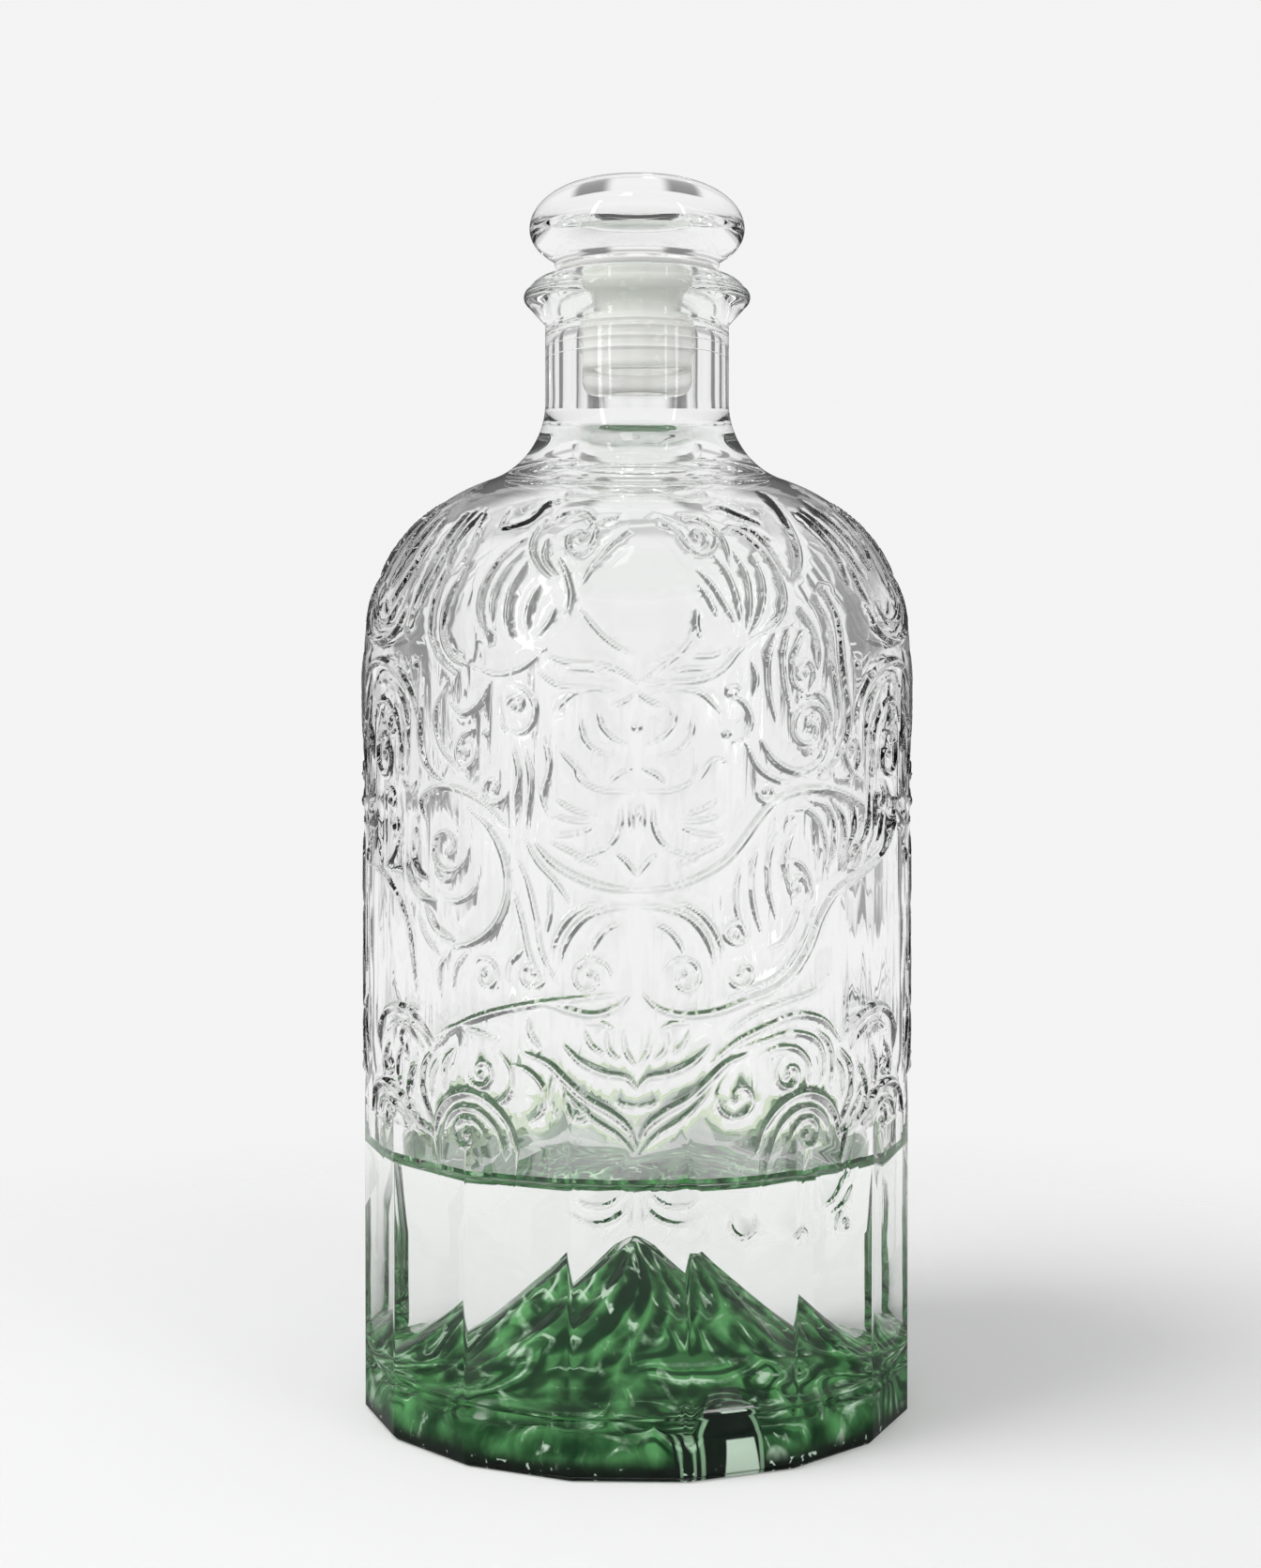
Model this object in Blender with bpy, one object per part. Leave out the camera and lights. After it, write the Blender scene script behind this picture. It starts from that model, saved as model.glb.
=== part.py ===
"""A moulded spirits bottle with a sixteen-sided foot, a mountain-shaped floor and a glass stopper.

Metres, +Z up. The origin is the centre of the heel ring, on the surface that the bottle stands on,
and -Y is the bottle's front.
"""
import math

import bmesh
import bpy
from mathutils import Vector
from mathutils.geometry import delaunay_2d_cdt

# Moulded glass body
BODY_RADIUS = 0.0459
WALL = 0.0042
FOOT_SIDES = 16
FOOT_INSET = 0.0005
FOOT_FIRST_CORNER = math.radians(-12.8)
FOOT_TOP = 0.050
FOOT_BLEND = 0.008
HEEL_CHAMFER = 0.0007
HEEL_WIDTH = 0.00284
SHOULDER_START = 0.1244
SHOULDER_RADIUS = 0.030
NECK_RADIUS = 0.01525
NECK_FILLET = 0.014
NECK_LENGTH = 0.01293
BORE_RADIUS = 0.00975
BORE_FILLET = 0.008

# Ornament moulded on the wall, counted in BODY_RADIUS: tapering ridges, shallower on the back
RIDGE_HEIGHT = 0.0007
BACK_RIDGE_SHARE = 0.4
RIDGE_HALF_WIDTH = 0.0011
RIDGE_TAPER_SHARE = 0.25
RIDGE_STEP = 0.0050
RIDGE_CLEARANCE = 0.0016
ORNAMENT_FROM = 0.044
MILLIMETRE = 0.001

# Strokes on the front: degrees round to the right of its middle, and millimetres up from the heel
MIDDLE_STROKES = (
    ((-18.2, 94.0), (-10.0, 90.2), (0.0, 88.8), (10.0, 90.2), (18.8, 94.6), (25.1, 100.6), (37.6, 103.5),
     (47.6, 101.8)),
    ((-43.3, 63.8), (-30.1, 69.6), (-15.0, 71.5), (-7.5, 70.3), (0.0, 73.0), (7.5, 70.3), (17.6, 71.0),
     (31.3, 75.6), (39.5, 85.4), (52.7, 90.8), (65.7, 97.4)),
    ((-15.5, 77.6), (-13.0, 82.2), (0.0, 85.4), (13.0, 82.2), (15.5, 77.6)),
    ((-18.1, 124.0), (-5.6, 121.9), (0.0, 119.4), (10.0, 120.2), (23.2, 126.4)),
    ((-13.8, 65.4), (-7.5, 62.0), (0.0, 59.4), (7.5, 62.0), (13.8, 65.4)),
    ((-21.8, 64.1), (-9.5, 57.4), (0.0, 50.6), (9.5, 57.4), (21.8, 64.1)),
)
MIRRORED_STROKES = (
    ((23.8, 49.6), (28.1, 55.4), (34.4, 57.4), (40.4, 55.4), (43.6, 49.8)),
    ((47.6, 51.0), (60.9, 56.4), (73.5, 50.4)),
    ((45.1, 65.0), (55.2, 69.0), (65.9, 64.8)),
    ((48.1, 113.6), (53.9, 120.6), (65.2, 123.0), (77.2, 119.2)),
    ((55.7, 103.0), (54.4, 109.0), (60.2, 115.8), (66.9, 113.0), (64.9, 107.6), (60.2, 108.4)),
    ((54.4, 131.4), (61.4, 126.6), (71.5, 126.6), (79.0, 130.6)),
    ((83.5, 119.0), (85.3, 113.0), (84.5, 107.0)),
    ((5.3, 107.6), (11.3, 105.4), (12.3, 110.6)),
    ((3.3, 101.4), (3.8, 97.4), (8.8, 94.2)),
    ((8.0, 99.6), (16.8, 101.0)),
    ((5.0, 80.4), (9.3, 79.6), (10.8, 76.4), (7.3, 75.2)),
    ((70.2, 61.0), (75.7, 65.4), (75.2, 71.0)),
    ((56.7, 146.0), (58.2, 139.0), (61.4, 135.0)),
    ((73.2, 147.0), (75.5, 140.0), (74.7, 136.0)),
    ((4.3, 144.4), (6.8, 139.0), (4.3, 134.0)),
)
RIGHT_STROKES = (
    ((41.4, 134.0), (44.4, 123.0), (46.4, 114.6), (44.6, 109.6)),
    ((24.3, 111.4), (30.8, 106.6), (38.9, 108.6), (39.4, 114.4), (33.6, 115.6)),
    ((20.1, 143.4), (28.1, 138.6), (30.3, 132.6), (26.1, 128.6)),
    ((33.8, 136.0), (37.1, 140.4), (37.7, 146.4)),
    ((44.1, 146.6), (48.4, 141.0), (48.6, 134.6)),
    ((33.8, 98.8), (38.9, 95.6), (39.4, 90.6)),
    ((41.4, 100.6), (44.6, 96.0), (43.9, 91.6)),
    ((52.2, 98.4), (48.9, 94.4)),
    ((23.8, 95.0), (22.6, 88.0), (24.6, 81.6)),
    ((25.6, 59.2), (30.8, 63.8), (35.9, 61.0)),
)
LEFT_STROKES = (
    ((38.9, 138.0), (41.4, 131.0), (39.6, 125.0), (34.9, 122.2)),
    ((37.1, 110.0), (29.6, 111.2), (23.3, 107.4), (20.8, 100.0)),
    ((45.1, 117.6), (46.9, 111.0), (42.6, 104.8)),
    ((25.6, 141.4), (31.6, 136.0), (30.6, 127.0)),
    ((17.1, 138.6), (13.0, 145.0), (8.5, 141.2), (12.0, 138.2)),
    ((48.9, 145.6), (49.4, 138.0), (50.9, 130.6)),
    ((30.8, 100.8), (26.1, 91.0), (30.8, 81.4), (42.6, 80.0)),
    ((35.4, 95.6), (39.9, 98.4), (44.4, 94.4), (40.6, 91.0)),
    ((49.6, 98.6), (50.1, 93.0), (45.6, 88.8)),
    ((49.6, 74.0), (52.7, 83.0), (67.7, 90.2)),
    ((25.8, 59.0), (31.1, 63.6), (35.9, 60.6)),
)

# Lip, a flared saucer round the mouth
LIP_DEPTH = 0.0080
LIP_RADIUS = 0.0188
LIP_EDGE = 0.0016
LIP_EDGE_DROP = 0.0037
LIP_EDGE_START = math.radians(-55.0)
LIP_EDGE_END = math.radians(65.0)
LIP_FACE_RADIUS = 0.0144
MOUTH_ROUNDING = 0.0006

# Floor, pushed up from below into a mountain
PEAK_HEIGHT = 0.0300
FLOOR_EDGE_HEIGHT = 0.0056
FLOOR_GLASS = 0.0024
FLOOR_CORNER = 0.0040
SLOPE_POWER = 1.05
SPUR_COUNT = 5
SPUR_DEPTH = 0.10
GULLY_COUNT = 8
GULLY_DEPTH = 0.05
GULLY_TURN = 1.0
SPUR_TWIST = 0.9
CALM_PEAK_SHARE = 1.0 / 3.0

# Arched portal at the mountain's foot
PORTAL_AZIMUTH = math.radians(20.0)
PORTAL_WIDTH = 0.0100
PORTAL_HEIGHT = 0.0100
PORTAL_SETBACK = 0.0024

# Green layer in the punt
LINER_THICKNESS = 0.0010
LINER_FOOT_GAP = 0.0006

# Liquid
LIQUOR_LEVEL = 0.0430
MENISCUS_RISE = 0.0012
MENISCUS_WIDTH = 0.0022

# Stopper
BEAD_RADIUS = 0.01785
BEAD_UPPER_HEIGHT = 0.0080
BEAD_CROWN_RADIUS = 0.0040
BEAD_LOWER_HEIGHT = 0.0076
BEAD_LOWER_CENTRE = 0.0090
STOPPER_FOOT_RADIUS = 0.0137
STOPPER_FOOT_HEIGHT = 0.0010
SPIGOT_LENGTH = 0.0175
SPIGOT_CORNER = 0.0040

# Sleeve over the spigot
SEAL_WALL = 0.0006
SEAL_RIB_HEIGHT = 0.00035
SEAL_RIB_COUNT = 4
SEAL_RIB_PITCH = 0.0018
SEAL_RIB_DEPTH = 0.0070
SEAL_TIP_THICKNESS = 0.0041
SEAL_TIP_CORNER = 0.0025
SEAL_FLANGE_RADIUS = 0.0132
SEAL_FLANGE_THICKNESS = 0.0009

# Clearance between neighbouring pieces
GAP = 0.0003

# How far a cutter runs past the face that it opens
OVERSHOOT = 0.001

# Fineness of the mesh
OUTSIDE_COLUMNS = 2 * FOOT_SIDES
COLUMNS = 40
STOPPER_COLUMNS = 28
FOOT_BLEND_STEPS = 4
WALL_ROWS = 6
SHOULDER_STEPS = 8
ORNAMENT_SHOULDER_STEPS = 6
FILLET_STEPS = 5
LIP_EDGE_STEPS = 5
MOUTH_STEPS = 3
FLOOR_RINGS = 9
FLOOR_CORNER_STEPS = 4
PORTAL_ARCH_STEPS = 8
MENISCUS_STEPS = 2
BEAD_UPPER_STEPS = 10
BEAD_LOWER_STEPS = 7
TIP_STEPS = 5
PLAN_FIRST_COLUMN = -7
PLAN_TOLERANCE = 0.000001
SHARP_ANGLE = math.radians(35.0)
MERGE_DISTANCE = 0.00001


def clear_scene():
    for old in list(bpy.data.objects):
        bpy.data.objects.remove(old, do_unlink=True)


def make_material(name, color, roughness, transmission, ior):
    material = bpy.data.materials.new(name)
    material.use_nodes = True
    shader = material.node_tree.nodes["Principled BSDF"]
    shader.inputs["Base Color"].default_value = (*color, 1.0)
    shader.inputs["Roughness"].default_value = roughness
    shader.inputs["Metallic"].default_value = 0.0
    shader.inputs["Transmission Weight"].default_value = transmission
    shader.inputs["IOR"].default_value = ior
    return material


def arc(centre_r, centre_z, radius_r, start, end, steps, radius_z=None):
    """Points of an arc in the (r, z) plane, from one angle to the other, in radians from +r."""
    radius_z = radius_r if radius_z is None else radius_z
    points = []
    for i in range(steps + 1):
        angle = start + (end - start) * i / steps
        points.append((centre_r + radius_r * math.cos(angle), centre_z + radius_z * math.sin(angle)))
    return points


def shoulder(side_radius, shoulder_radius, throat_radius, fillet):
    """A round shoulder that rises from the straight wall and meets the neck in a tangent fillet."""
    centre_r = side_radius - shoulder_radius
    fillet_r = throat_radius + fillet
    across = fillet_r - centre_r
    reach = shoulder_radius + fillet
    rise = math.sqrt(reach * reach - across * across)
    meet = math.atan2(rise, across)
    lower = arc(centre_r, SHOULDER_START, shoulder_radius, 0.0, meet, SHOULDER_STEPS)
    upper = arc(fillet_r, SHOULDER_START + rise, fillet, meet - math.pi, -math.pi, FILLET_STEPS)
    return lower + upper[1:]


def ground_radius():
    """Radius of the plain wall between the ridges."""
    return BODY_RADIUS - RIDGE_HEIGHT


def outer_shoulder():
    return shoulder(ground_radius(), SHOULDER_RADIUS, NECK_RADIUS, NECK_FILLET)


def lip_top():
    """Height of the flat round the mouth, where the shoulder and the straight neck put it."""
    return outer_shoulder()[-1][1] + NECK_LENGTH + LIP_DEPTH


def side_azimuth(column, columns):
    """Angle of one of so many columns of vertices, from the front (-Y) towards +X."""
    return FOOT_FIRST_CORNER + 2.0 * math.pi * column / columns


def polygon_share(azimuth):
    """How far a point of the sixteen-sided outline lies from the axis, as a share of a corner's."""
    half_side = math.pi / FOOT_SIDES
    within = (azimuth - FOOT_FIRST_CORNER) % (2.0 * half_side) - half_side
    return math.cos(half_side) / math.cos(within)


def place(radius, azimuth, z):
    return (radius * math.sin(azimuth), -radius * math.cos(azimuth), z)


def round_ring(radius, z, columns=COLUMNS):
    return [place(radius, side_azimuth(column, columns), z) for column in range(columns)]


def foot_radius(azimuth, inset=0.0):
    """Radius of the foot's sixteen-sided outline, drawn in by inset."""
    return (BODY_RADIUS - FOOT_INSET - inset) * polygon_share(azimuth)


def foot_ring(z, inset=0.0):
    ring = []
    for column in range(OUTSIDE_COLUMNS):
        azimuth = side_azimuth(column, OUTSIDE_COLUMNS)
        ring.append(place(foot_radius(azimuth, inset), azimuth, z))
    return ring


def wall_point(azimuth, along, height):
    """A point at some height over the plain wall. Along runs up the wall and on over the shoulder."""
    straight = min(along, SHOULDER_START)
    bend = (along - straight) / SHOULDER_RADIUS
    share = min(1.0, max(0.0, (straight - FOOT_TOP) / FOOT_BLEND))
    roundness = share * share * (3.0 - 2.0 * share)
    flat = foot_radius(azimuth)
    side = flat + (ground_radius() - flat) * roundness
    reach = SHOULDER_RADIUS + height
    radius = side - SHOULDER_RADIUS + reach * math.cos(bend)
    return place(radius, azimuth, straight + reach * math.sin(bend))


def punt_rim_radius():
    """Inner edge of the heel ring, measured in from the middle of a side of the foot."""
    side = (BODY_RADIUS - FOOT_INSET - HEEL_CHAMFER) * math.cos(math.pi / FOOT_SIDES)
    return side - HEEL_WIDTH


def cavity_radius():
    return BODY_RADIUS - WALL


def floor_radius():
    """Where the mountain's foot meets the rounded corner of the cavity."""
    return cavity_radius() - FLOOR_CORNER


def mountain(radius, azimuth):
    """Height of the mountain's underside: a concave cone with winding spurs, calm at the peak."""
    share = radius / floor_radius()
    cone = max(0.0, 1.0 - share) ** SLOPE_POWER
    winding = azimuth + SPUR_TWIST * share
    spurs = SPUR_DEPTH * math.cos(SPUR_COUNT * winding)
    gullies = GULLY_DEPTH * math.cos(GULLY_COUNT * winding + GULLY_TURN)
    strength = min(1.0, share / CALM_PEAK_SHARE)
    rise = PEAK_HEIGHT - FLOOR_EDGE_HEIGHT
    return FLOOR_EDGE_HEIGHT + rise * cone * (1.0 + strength * (spurs + gullies))


def mountain_rings(lift):
    """Rings from the mountain's foot to just below its peak, raised by lift."""
    rings = []
    for i in range(FLOOR_RINGS):
        radius = floor_radius() * (1.0 - i / FLOOR_RINGS)
        ring = []
        for column in range(COLUMNS):
            azimuth = side_azimuth(column, COLUMNS)
            ring.append(place(radius, azimuth, mountain(radius, azimuth) + lift))
        rings.append(ring)
    return rings


def add_band(sheet, rings):
    """Faces between rings of equal length.

    Each cell is split along the same diagonal, so that skins over the same form lie an even gap apart.
    """
    rows = [[sheet.verts.new(point) for point in ring] for ring in rings]
    count = len(rows[0])
    for k in range(count):
        after = (k + 1) % count
        for lower, upper in zip(rows, rows[1:]):
            sheet.faces.new((lower[k], upper[k], upper[after]))
            sheet.faces.new((lower[k], upper[after], lower[after]))
    return rows


def add_pole(sheet, row, height):
    """Shuts a row of vertices with a point on the axis."""
    pole = sheet.verts.new((0.0, 0.0, height))
    for k in range(len(row)):
        sheet.faces.new((pole, row[k], row[(k + 1) % len(row)]))


def skin_object(name, sheet, material):
    mesh = bpy.data.meshes.new(name)
    bmesh.ops.recalc_face_normals(sheet, faces=sheet.faces)
    sheet.to_mesh(mesh)
    sheet.free()
    return add_object(name, mesh, material)


def loft(name, first_pole, rings, last_pole, material=None):
    """A closed skin through rings of equal length, shut by a point at each end of the axis."""
    sheet = bmesh.new()
    rows = add_band(sheet, rings)
    add_pole(sheet, rows[0], first_pole)
    add_pole(sheet, rows[-1], last_pole)
    return skin_object(name, sheet, material)


def add_object(name, mesh, material=None):
    mesh.shade_smooth()
    mesh.set_sharp_from_angle(angle=SHARP_ANGLE)
    piece = bpy.data.objects.new(name, mesh)
    bpy.context.scene.collection.objects.link(piece)
    if material:
        piece.data.materials.append(material)
    return piece


def turned(name, profile, material):
    """A turned solid from a profile of (r, z) points that runs from the top of the axis to its foot."""
    mesh = bpy.data.meshes.new(name)
    points = [(r, 0.0, z) for r, z in profile]
    mesh.from_pydata(points, [(i, i + 1) for i in range(len(points) - 1)], [])
    piece = add_object(name, mesh, material)
    screw = piece.modifiers.new("Turn", "SCREW")
    screw.axis = "Z"
    screw.steps = STOPPER_COLUMNS
    screw.render_steps = STOPPER_COLUMNS
    screw.use_merge_vertices = True
    screw.merge_threshold = MERGE_DISTANCE
    screw.use_smooth_shade = True
    return piece


def as_tool(piece):
    """Marks an object as a cutter, which is no part of the bottle."""
    piece.hide_render = True
    piece.display_type = "WIRE"
    return piece


def portal_end():
    """Distance of the portal's outer end from the axis."""
    return punt_rim_radius() - PORTAL_SETBACK


def portal_block(name, grow, outer_radius, bottom):
    """A cutter: the portal's arched tunnel along its azimuth, grown all round by grow."""
    rise = (PORTAL_HEIGHT - FLOOR_EDGE_HEIGHT) / (PEAK_HEIGHT - FLOOR_EDGE_HEIGHT)
    under_flank = floor_radius() * (1.0 - rise) - FLOOR_GLASS - grow
    half = PORTAL_WIDTH / 2.0 + grow
    spring = PORTAL_HEIGHT - PORTAL_WIDTH / 2.0
    outline = [(-half, bottom), (half, bottom)]
    outline += arc(0.0, spring, half, 0.0, math.pi, PORTAL_ARCH_STEPS)
    forward = Vector((math.sin(PORTAL_AZIMUTH), -math.cos(PORTAL_AZIMUTH), 0.0))
    right = Vector((math.cos(PORTAL_AZIMUTH), math.sin(PORTAL_AZIMUTH), 0.0))
    block = bmesh.new()
    corners = []
    for side, z in outline:
        corners.append(block.verts.new(under_flank * forward + side * right + Vector((0.0, 0.0, z))))
    face = block.faces.new(corners)
    grown = bmesh.ops.extrude_face_region(block, geom=[face])
    moved = [item for item in grown["geom"] if isinstance(item, bmesh.types.BMVert)]
    bmesh.ops.translate(block, vec=(outer_radius - under_flank) * forward, verts=moved)
    bmesh.ops.recalc_face_normals(block, faces=block.faces)
    mesh = bpy.data.meshes.new(name)
    block.to_mesh(mesh)
    block.free()
    return as_tool(add_object(name, mesh))


def combine(piece, tool, operation):
    boolean = piece.modifiers.new(tool.name, "BOOLEAN")
    boolean.operation = operation
    boolean.solver = "EXACT"
    boolean.object = tool


def smooth_point(before, start, end, after, share):
    """A point between start and end on a line that takes its slope at each from the neighbours."""
    slope_in = (end - before) / 2.0
    slope_out = (after - start) / 2.0
    square, cube = share * share, share * share * share
    ends = (2.0 * cube - 3.0 * square + 1.0) * start + (3.0 * square - 2.0 * cube) * end
    return ends + (cube - 2.0 * square + share) * slope_in + (cube - square) * slope_out


def over_shoulder(height):
    """The way up the wall, and on over the shoulder, to a height."""
    bend = math.asin(min(1.0, max(0.0, height - SHOULDER_START) / SHOULDER_RADIUS))
    return min(height, SHOULDER_START) + SHOULDER_RADIUS * bend


def on_wall(degrees, height):
    """A stroke's point in metres on the unrolled wall, where the shoulder is laid flat too."""
    rows = wall_rows()
    margin = RIDGE_HALF_WIDTH + RIDGE_CLEARANCE
    along = over_shoulder(height * MILLIMETRE)
    along = min(rows[-1] - margin, max(rows[0] + margin, along))
    return Vector((math.radians(degrees) * ground_radius(), along))


def crest_of(stroke):
    """A ridge's crest, as evenly spaced points from one end of its stroke to the other."""
    knots = [on_wall(*point) for point in stroke]
    knots = [knots[0]] + knots + [knots[-1]]
    crest = []
    for before, start, end, after in zip(knots, knots[1:], knots[2:], knots[3:]):
        steps = max(1, round((end - start).length / RIDGE_STEP))
        crest += [smooth_point(before, start, end, after, i / steps) for i in range(steps)]
    return crest + [knots[-1]]


def ridge_share(index, count):
    """A ridge's width and height as a share of the full ones: nothing at both ends, full in the middle."""
    share = index / (count - 1)
    return math.sqrt(min(1.0, min(share, 1.0 - share) / RIDGE_TAPER_SHARE))


def all_crests():
    strokes = list(MIDDLE_STROKES) + list(RIGHT_STROKES) + list(MIRRORED_STROKES)
    for stroke in MIRRORED_STROKES + LEFT_STROKES:
        strokes.append([(-degrees, height) for degrees, height in stroke])
    return [crest_of(stroke) for stroke in strokes]


def ridge_rise(point, crest):
    """How high a ridge stands over a point of the unrolled wall, and the point's distance from its foot."""
    rise, outside = 0.0, math.inf
    last = len(crest) - 1
    for i in range(last):
        start, span = crest[i], crest[i + 1] - crest[i]
        along = min(1.0, max(0.0, (point - start).dot(span) / span.length_squared))
        share = ridge_share(i, last + 1) * (1.0 - along) + ridge_share(i + 1, last + 1) * along
        width = RIDGE_HALF_WIDTH * share
        away = (point - start - along * span).length
        outside = min(outside, away - width)
        if away < width:
            rise = max(rise, RIDGE_HEIGHT * share * (1.0 - away / width))
    return rise, outside


def wall_rows():
    """Heights of the grid on the unrolled wall, from the foot to high on the shoulder."""
    foot = FOOT_TOP + FOOT_BLEND
    blend = [FOOT_TOP + FOOT_BLEND * i / FOOT_BLEND_STEPS for i in range(FOOT_BLEND_STEPS)]
    rows = [ORNAMENT_FROM] + [z for z in blend if z > ORNAMENT_FROM]
    rows += [foot + (SHOULDER_START - foot) * i / WALL_ROWS for i in range(WALL_ROWS)]
    rows += [over_shoulder(z) for _, z in outer_shoulder()[:ORNAMENT_SHOULDER_STEPS + 1]]
    return rows


def wall_plan(crests):
    """Points and lines of half the unrolled wall: a grid, the foot's corners, the ridges' crests and feet."""
    first, half = PLAN_FIRST_COLUMN, OUTSIDE_COLUMNS // 2
    rows = wall_rows()
    points, lines = [], []
    for column in range(first, first + half + 1):
        corner = column % (OUTSIDE_COLUMNS // FOOT_SIDES) == 0
        edge = column in (first, first + half)
        below = None
        for along in rows:
            point = Vector((side_azimuth(column, OUTSIDE_COLUMNS) * ground_radius(), along))
            border = edge or along in (rows[0], rows[-1])
            on_corner = corner and along <= FOOT_TOP + FOOT_BLEND
            clear = min(ridge_rise(point, crest)[1] for crest in crests) > RIDGE_CLEARANCE
            if not (border or on_corner or clear):
                continue
            points.append(point)
            if below is not None and (edge or on_corner):
                lines.append((below, len(points) - 1))
            below = len(points) - 1
    for crest in crests:
        add_ridge_plan(points, lines, crest)
    return points, lines


def add_ridge_plan(points, lines, crest):
    """A ridge's crest and the two lines of its foot, which meet it at both ends."""
    count = len(crest)
    base = len(points)
    points += crest
    left, right = [base], [base]
    for i in range(1, count - 1):
        run = (crest[i + 1] - crest[i - 1]).normalized()
        across = Vector((-run.y, run.x)) * RIDGE_HALF_WIDTH * ridge_share(i, count)
        points.append(crest[i] + across)
        left.append(len(points) - 1)
        points.append(crest[i] - across)
        right.append(len(points) - 1)
    middle = list(range(base, base + count))
    for chain in (middle, left + [middle[-1]], right + [middle[-1]]):
        lines += zip(chain, chain[1:])


def add_wall(sheet):
    """The ornamented wall: half of it from its plan, and the other half the same, turned round."""
    crests = all_crests()
    points, lines = wall_plan(crests)
    plan = delaunay_2d_cdt(points, lines, [], 0, PLAN_TOLERANCE)
    rises = [max(ridge_rise(point, crest)[0] for crest in crests) for point in plan[0]]
    for turn, strength in ((0.0, 1.0), (math.pi, BACK_RIDGE_SHARE)):
        corners = []
        for point, rise in zip(plan[0], rises):
            azimuth = point.x / ground_radius() + turn
            corners.append(sheet.verts.new(wall_point(azimuth, point.y, rise * strength)))
        for face in plan[2]:
            sheet.faces.new([corners[i] for i in face])


def neck_rings():
    """Above the ornament: the shoulder's last steps, the neck and the lip up to its face."""
    profile = outer_shoulder()[ORNAMENT_SHOULDER_STEPS:]
    edge_z = lip_top() - LIP_EDGE_DROP
    profile.append((NECK_RADIUS, lip_top() - LIP_DEPTH))
    profile += arc(LIP_RADIUS - LIP_EDGE, edge_z, LIP_EDGE, LIP_EDGE_START, LIP_EDGE_END, LIP_EDGE_STEPS)
    profile.append((LIP_FACE_RADIUS, lip_top()))
    return [round_ring(r, z, OUTSIDE_COLUMNS) for r, z in profile]


def moulded_outside(name, glass):
    """The bottle's outside: the sixteen-sided foot, the ornamented wall, the neck and the lip."""
    sheet = bmesh.new()
    azimuths = [side_azimuth(column, OUTSIDE_COLUMNS) for column in range(OUTSIDE_COLUMNS)]
    wall_foot = [wall_point(azimuth, ORNAMENT_FROM, 0.0) for azimuth in azimuths]
    foot = add_band(sheet, [foot_ring(0.0, inset=HEEL_CHAMFER), foot_ring(HEEL_CHAMFER), wall_foot])
    add_pole(sheet, foot[0], 0.0)
    add_wall(sheet)
    neck = add_band(sheet, neck_rings())
    add_pole(sheet, neck[-1], lip_top())
    bmesh.ops.remove_doubles(sheet, verts=sheet.verts, dist=MERGE_DISTANCE)
    return skin_object(name, sheet, glass)


def bottom_corner(inset):
    """The cavity's rounded bottom corner, drawn in by inset, from the wall down to the mountain's foot."""
    middle = FLOOR_EDGE_HEIGHT + FLOOR_GLASS + FLOOR_CORNER
    corner = arc(floor_radius(), middle, FLOOR_CORNER - inset, 0.0, -math.pi / 2.0, FLOOR_CORNER_STEPS)
    return corner[:-1]


def cavity_rings():
    """The inside, from above the mouth down the bore and the wall to the mountain's peak."""
    mouth_r = BORE_RADIUS + MOUTH_ROUNDING
    profile = [(mouth_r, lip_top() + OVERSHOOT)]
    mouth_z = lip_top() - MOUTH_ROUNDING
    profile += arc(mouth_r, mouth_z, MOUTH_ROUNDING, math.pi / 2.0, math.pi, MOUTH_STEPS)
    profile += reversed(shoulder(cavity_radius(), SHOULDER_RADIUS - WALL, BORE_RADIUS, BORE_FILLET))
    profile += bottom_corner(0.0)
    return [round_ring(r, z) for r, z in profile] + mountain_rings(FLOOR_GLASS)


def build_bottle(glass):
    """Outside, less the cavity, less the punt. The portal's cover is glass left standing in the cavity."""
    bottle = moulded_outside("bottle_glass", glass)
    cavity = as_tool(loft("cavity", lip_top() + OVERSHOOT, cavity_rings(), PEAK_HEIGHT + FLOOR_GLASS))
    wall_middle = cavity_radius() + WALL / 2.0
    combine(cavity, portal_block("portal_cover", FLOOR_GLASS, wall_middle, 0.0), "DIFFERENCE")
    combine(bottle, cavity, "DIFFERENCE")
    combine(bottle, punt_block("punt", 0.0, -OVERSHOOT), "DIFFERENCE")
    recess_end = portal_end() + GAP
    combine(bottle, portal_block("portal_recess", GAP, recess_end, -OVERSHOOT), "DIFFERENCE")
    return bottle


def punt_rings(inset, bottom):
    """The mountain seen from below, drawn in by inset, with its upright wall down to bottom."""
    height = FLOOR_EDGE_HEIGHT - inset
    width = punt_rim_radius() - floor_radius() - inset
    start = math.asin(max(bottom, 0.0) / height)
    wall = arc(floor_radius(), 0.0, width, start, math.pi / 2.0, FLOOR_CORNER_STEPS, radius_z=height)[:-1]
    if bottom < 0.0:
        wall.insert(0, (wall[0][0], bottom))
    return [round_ring(r, z) for r, z in wall] + mountain_rings(-inset)


def punt_block(name, inset, bottom):
    return as_tool(loft(name, bottom, punt_rings(inset, bottom), PEAK_HEIGHT - inset))


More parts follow.
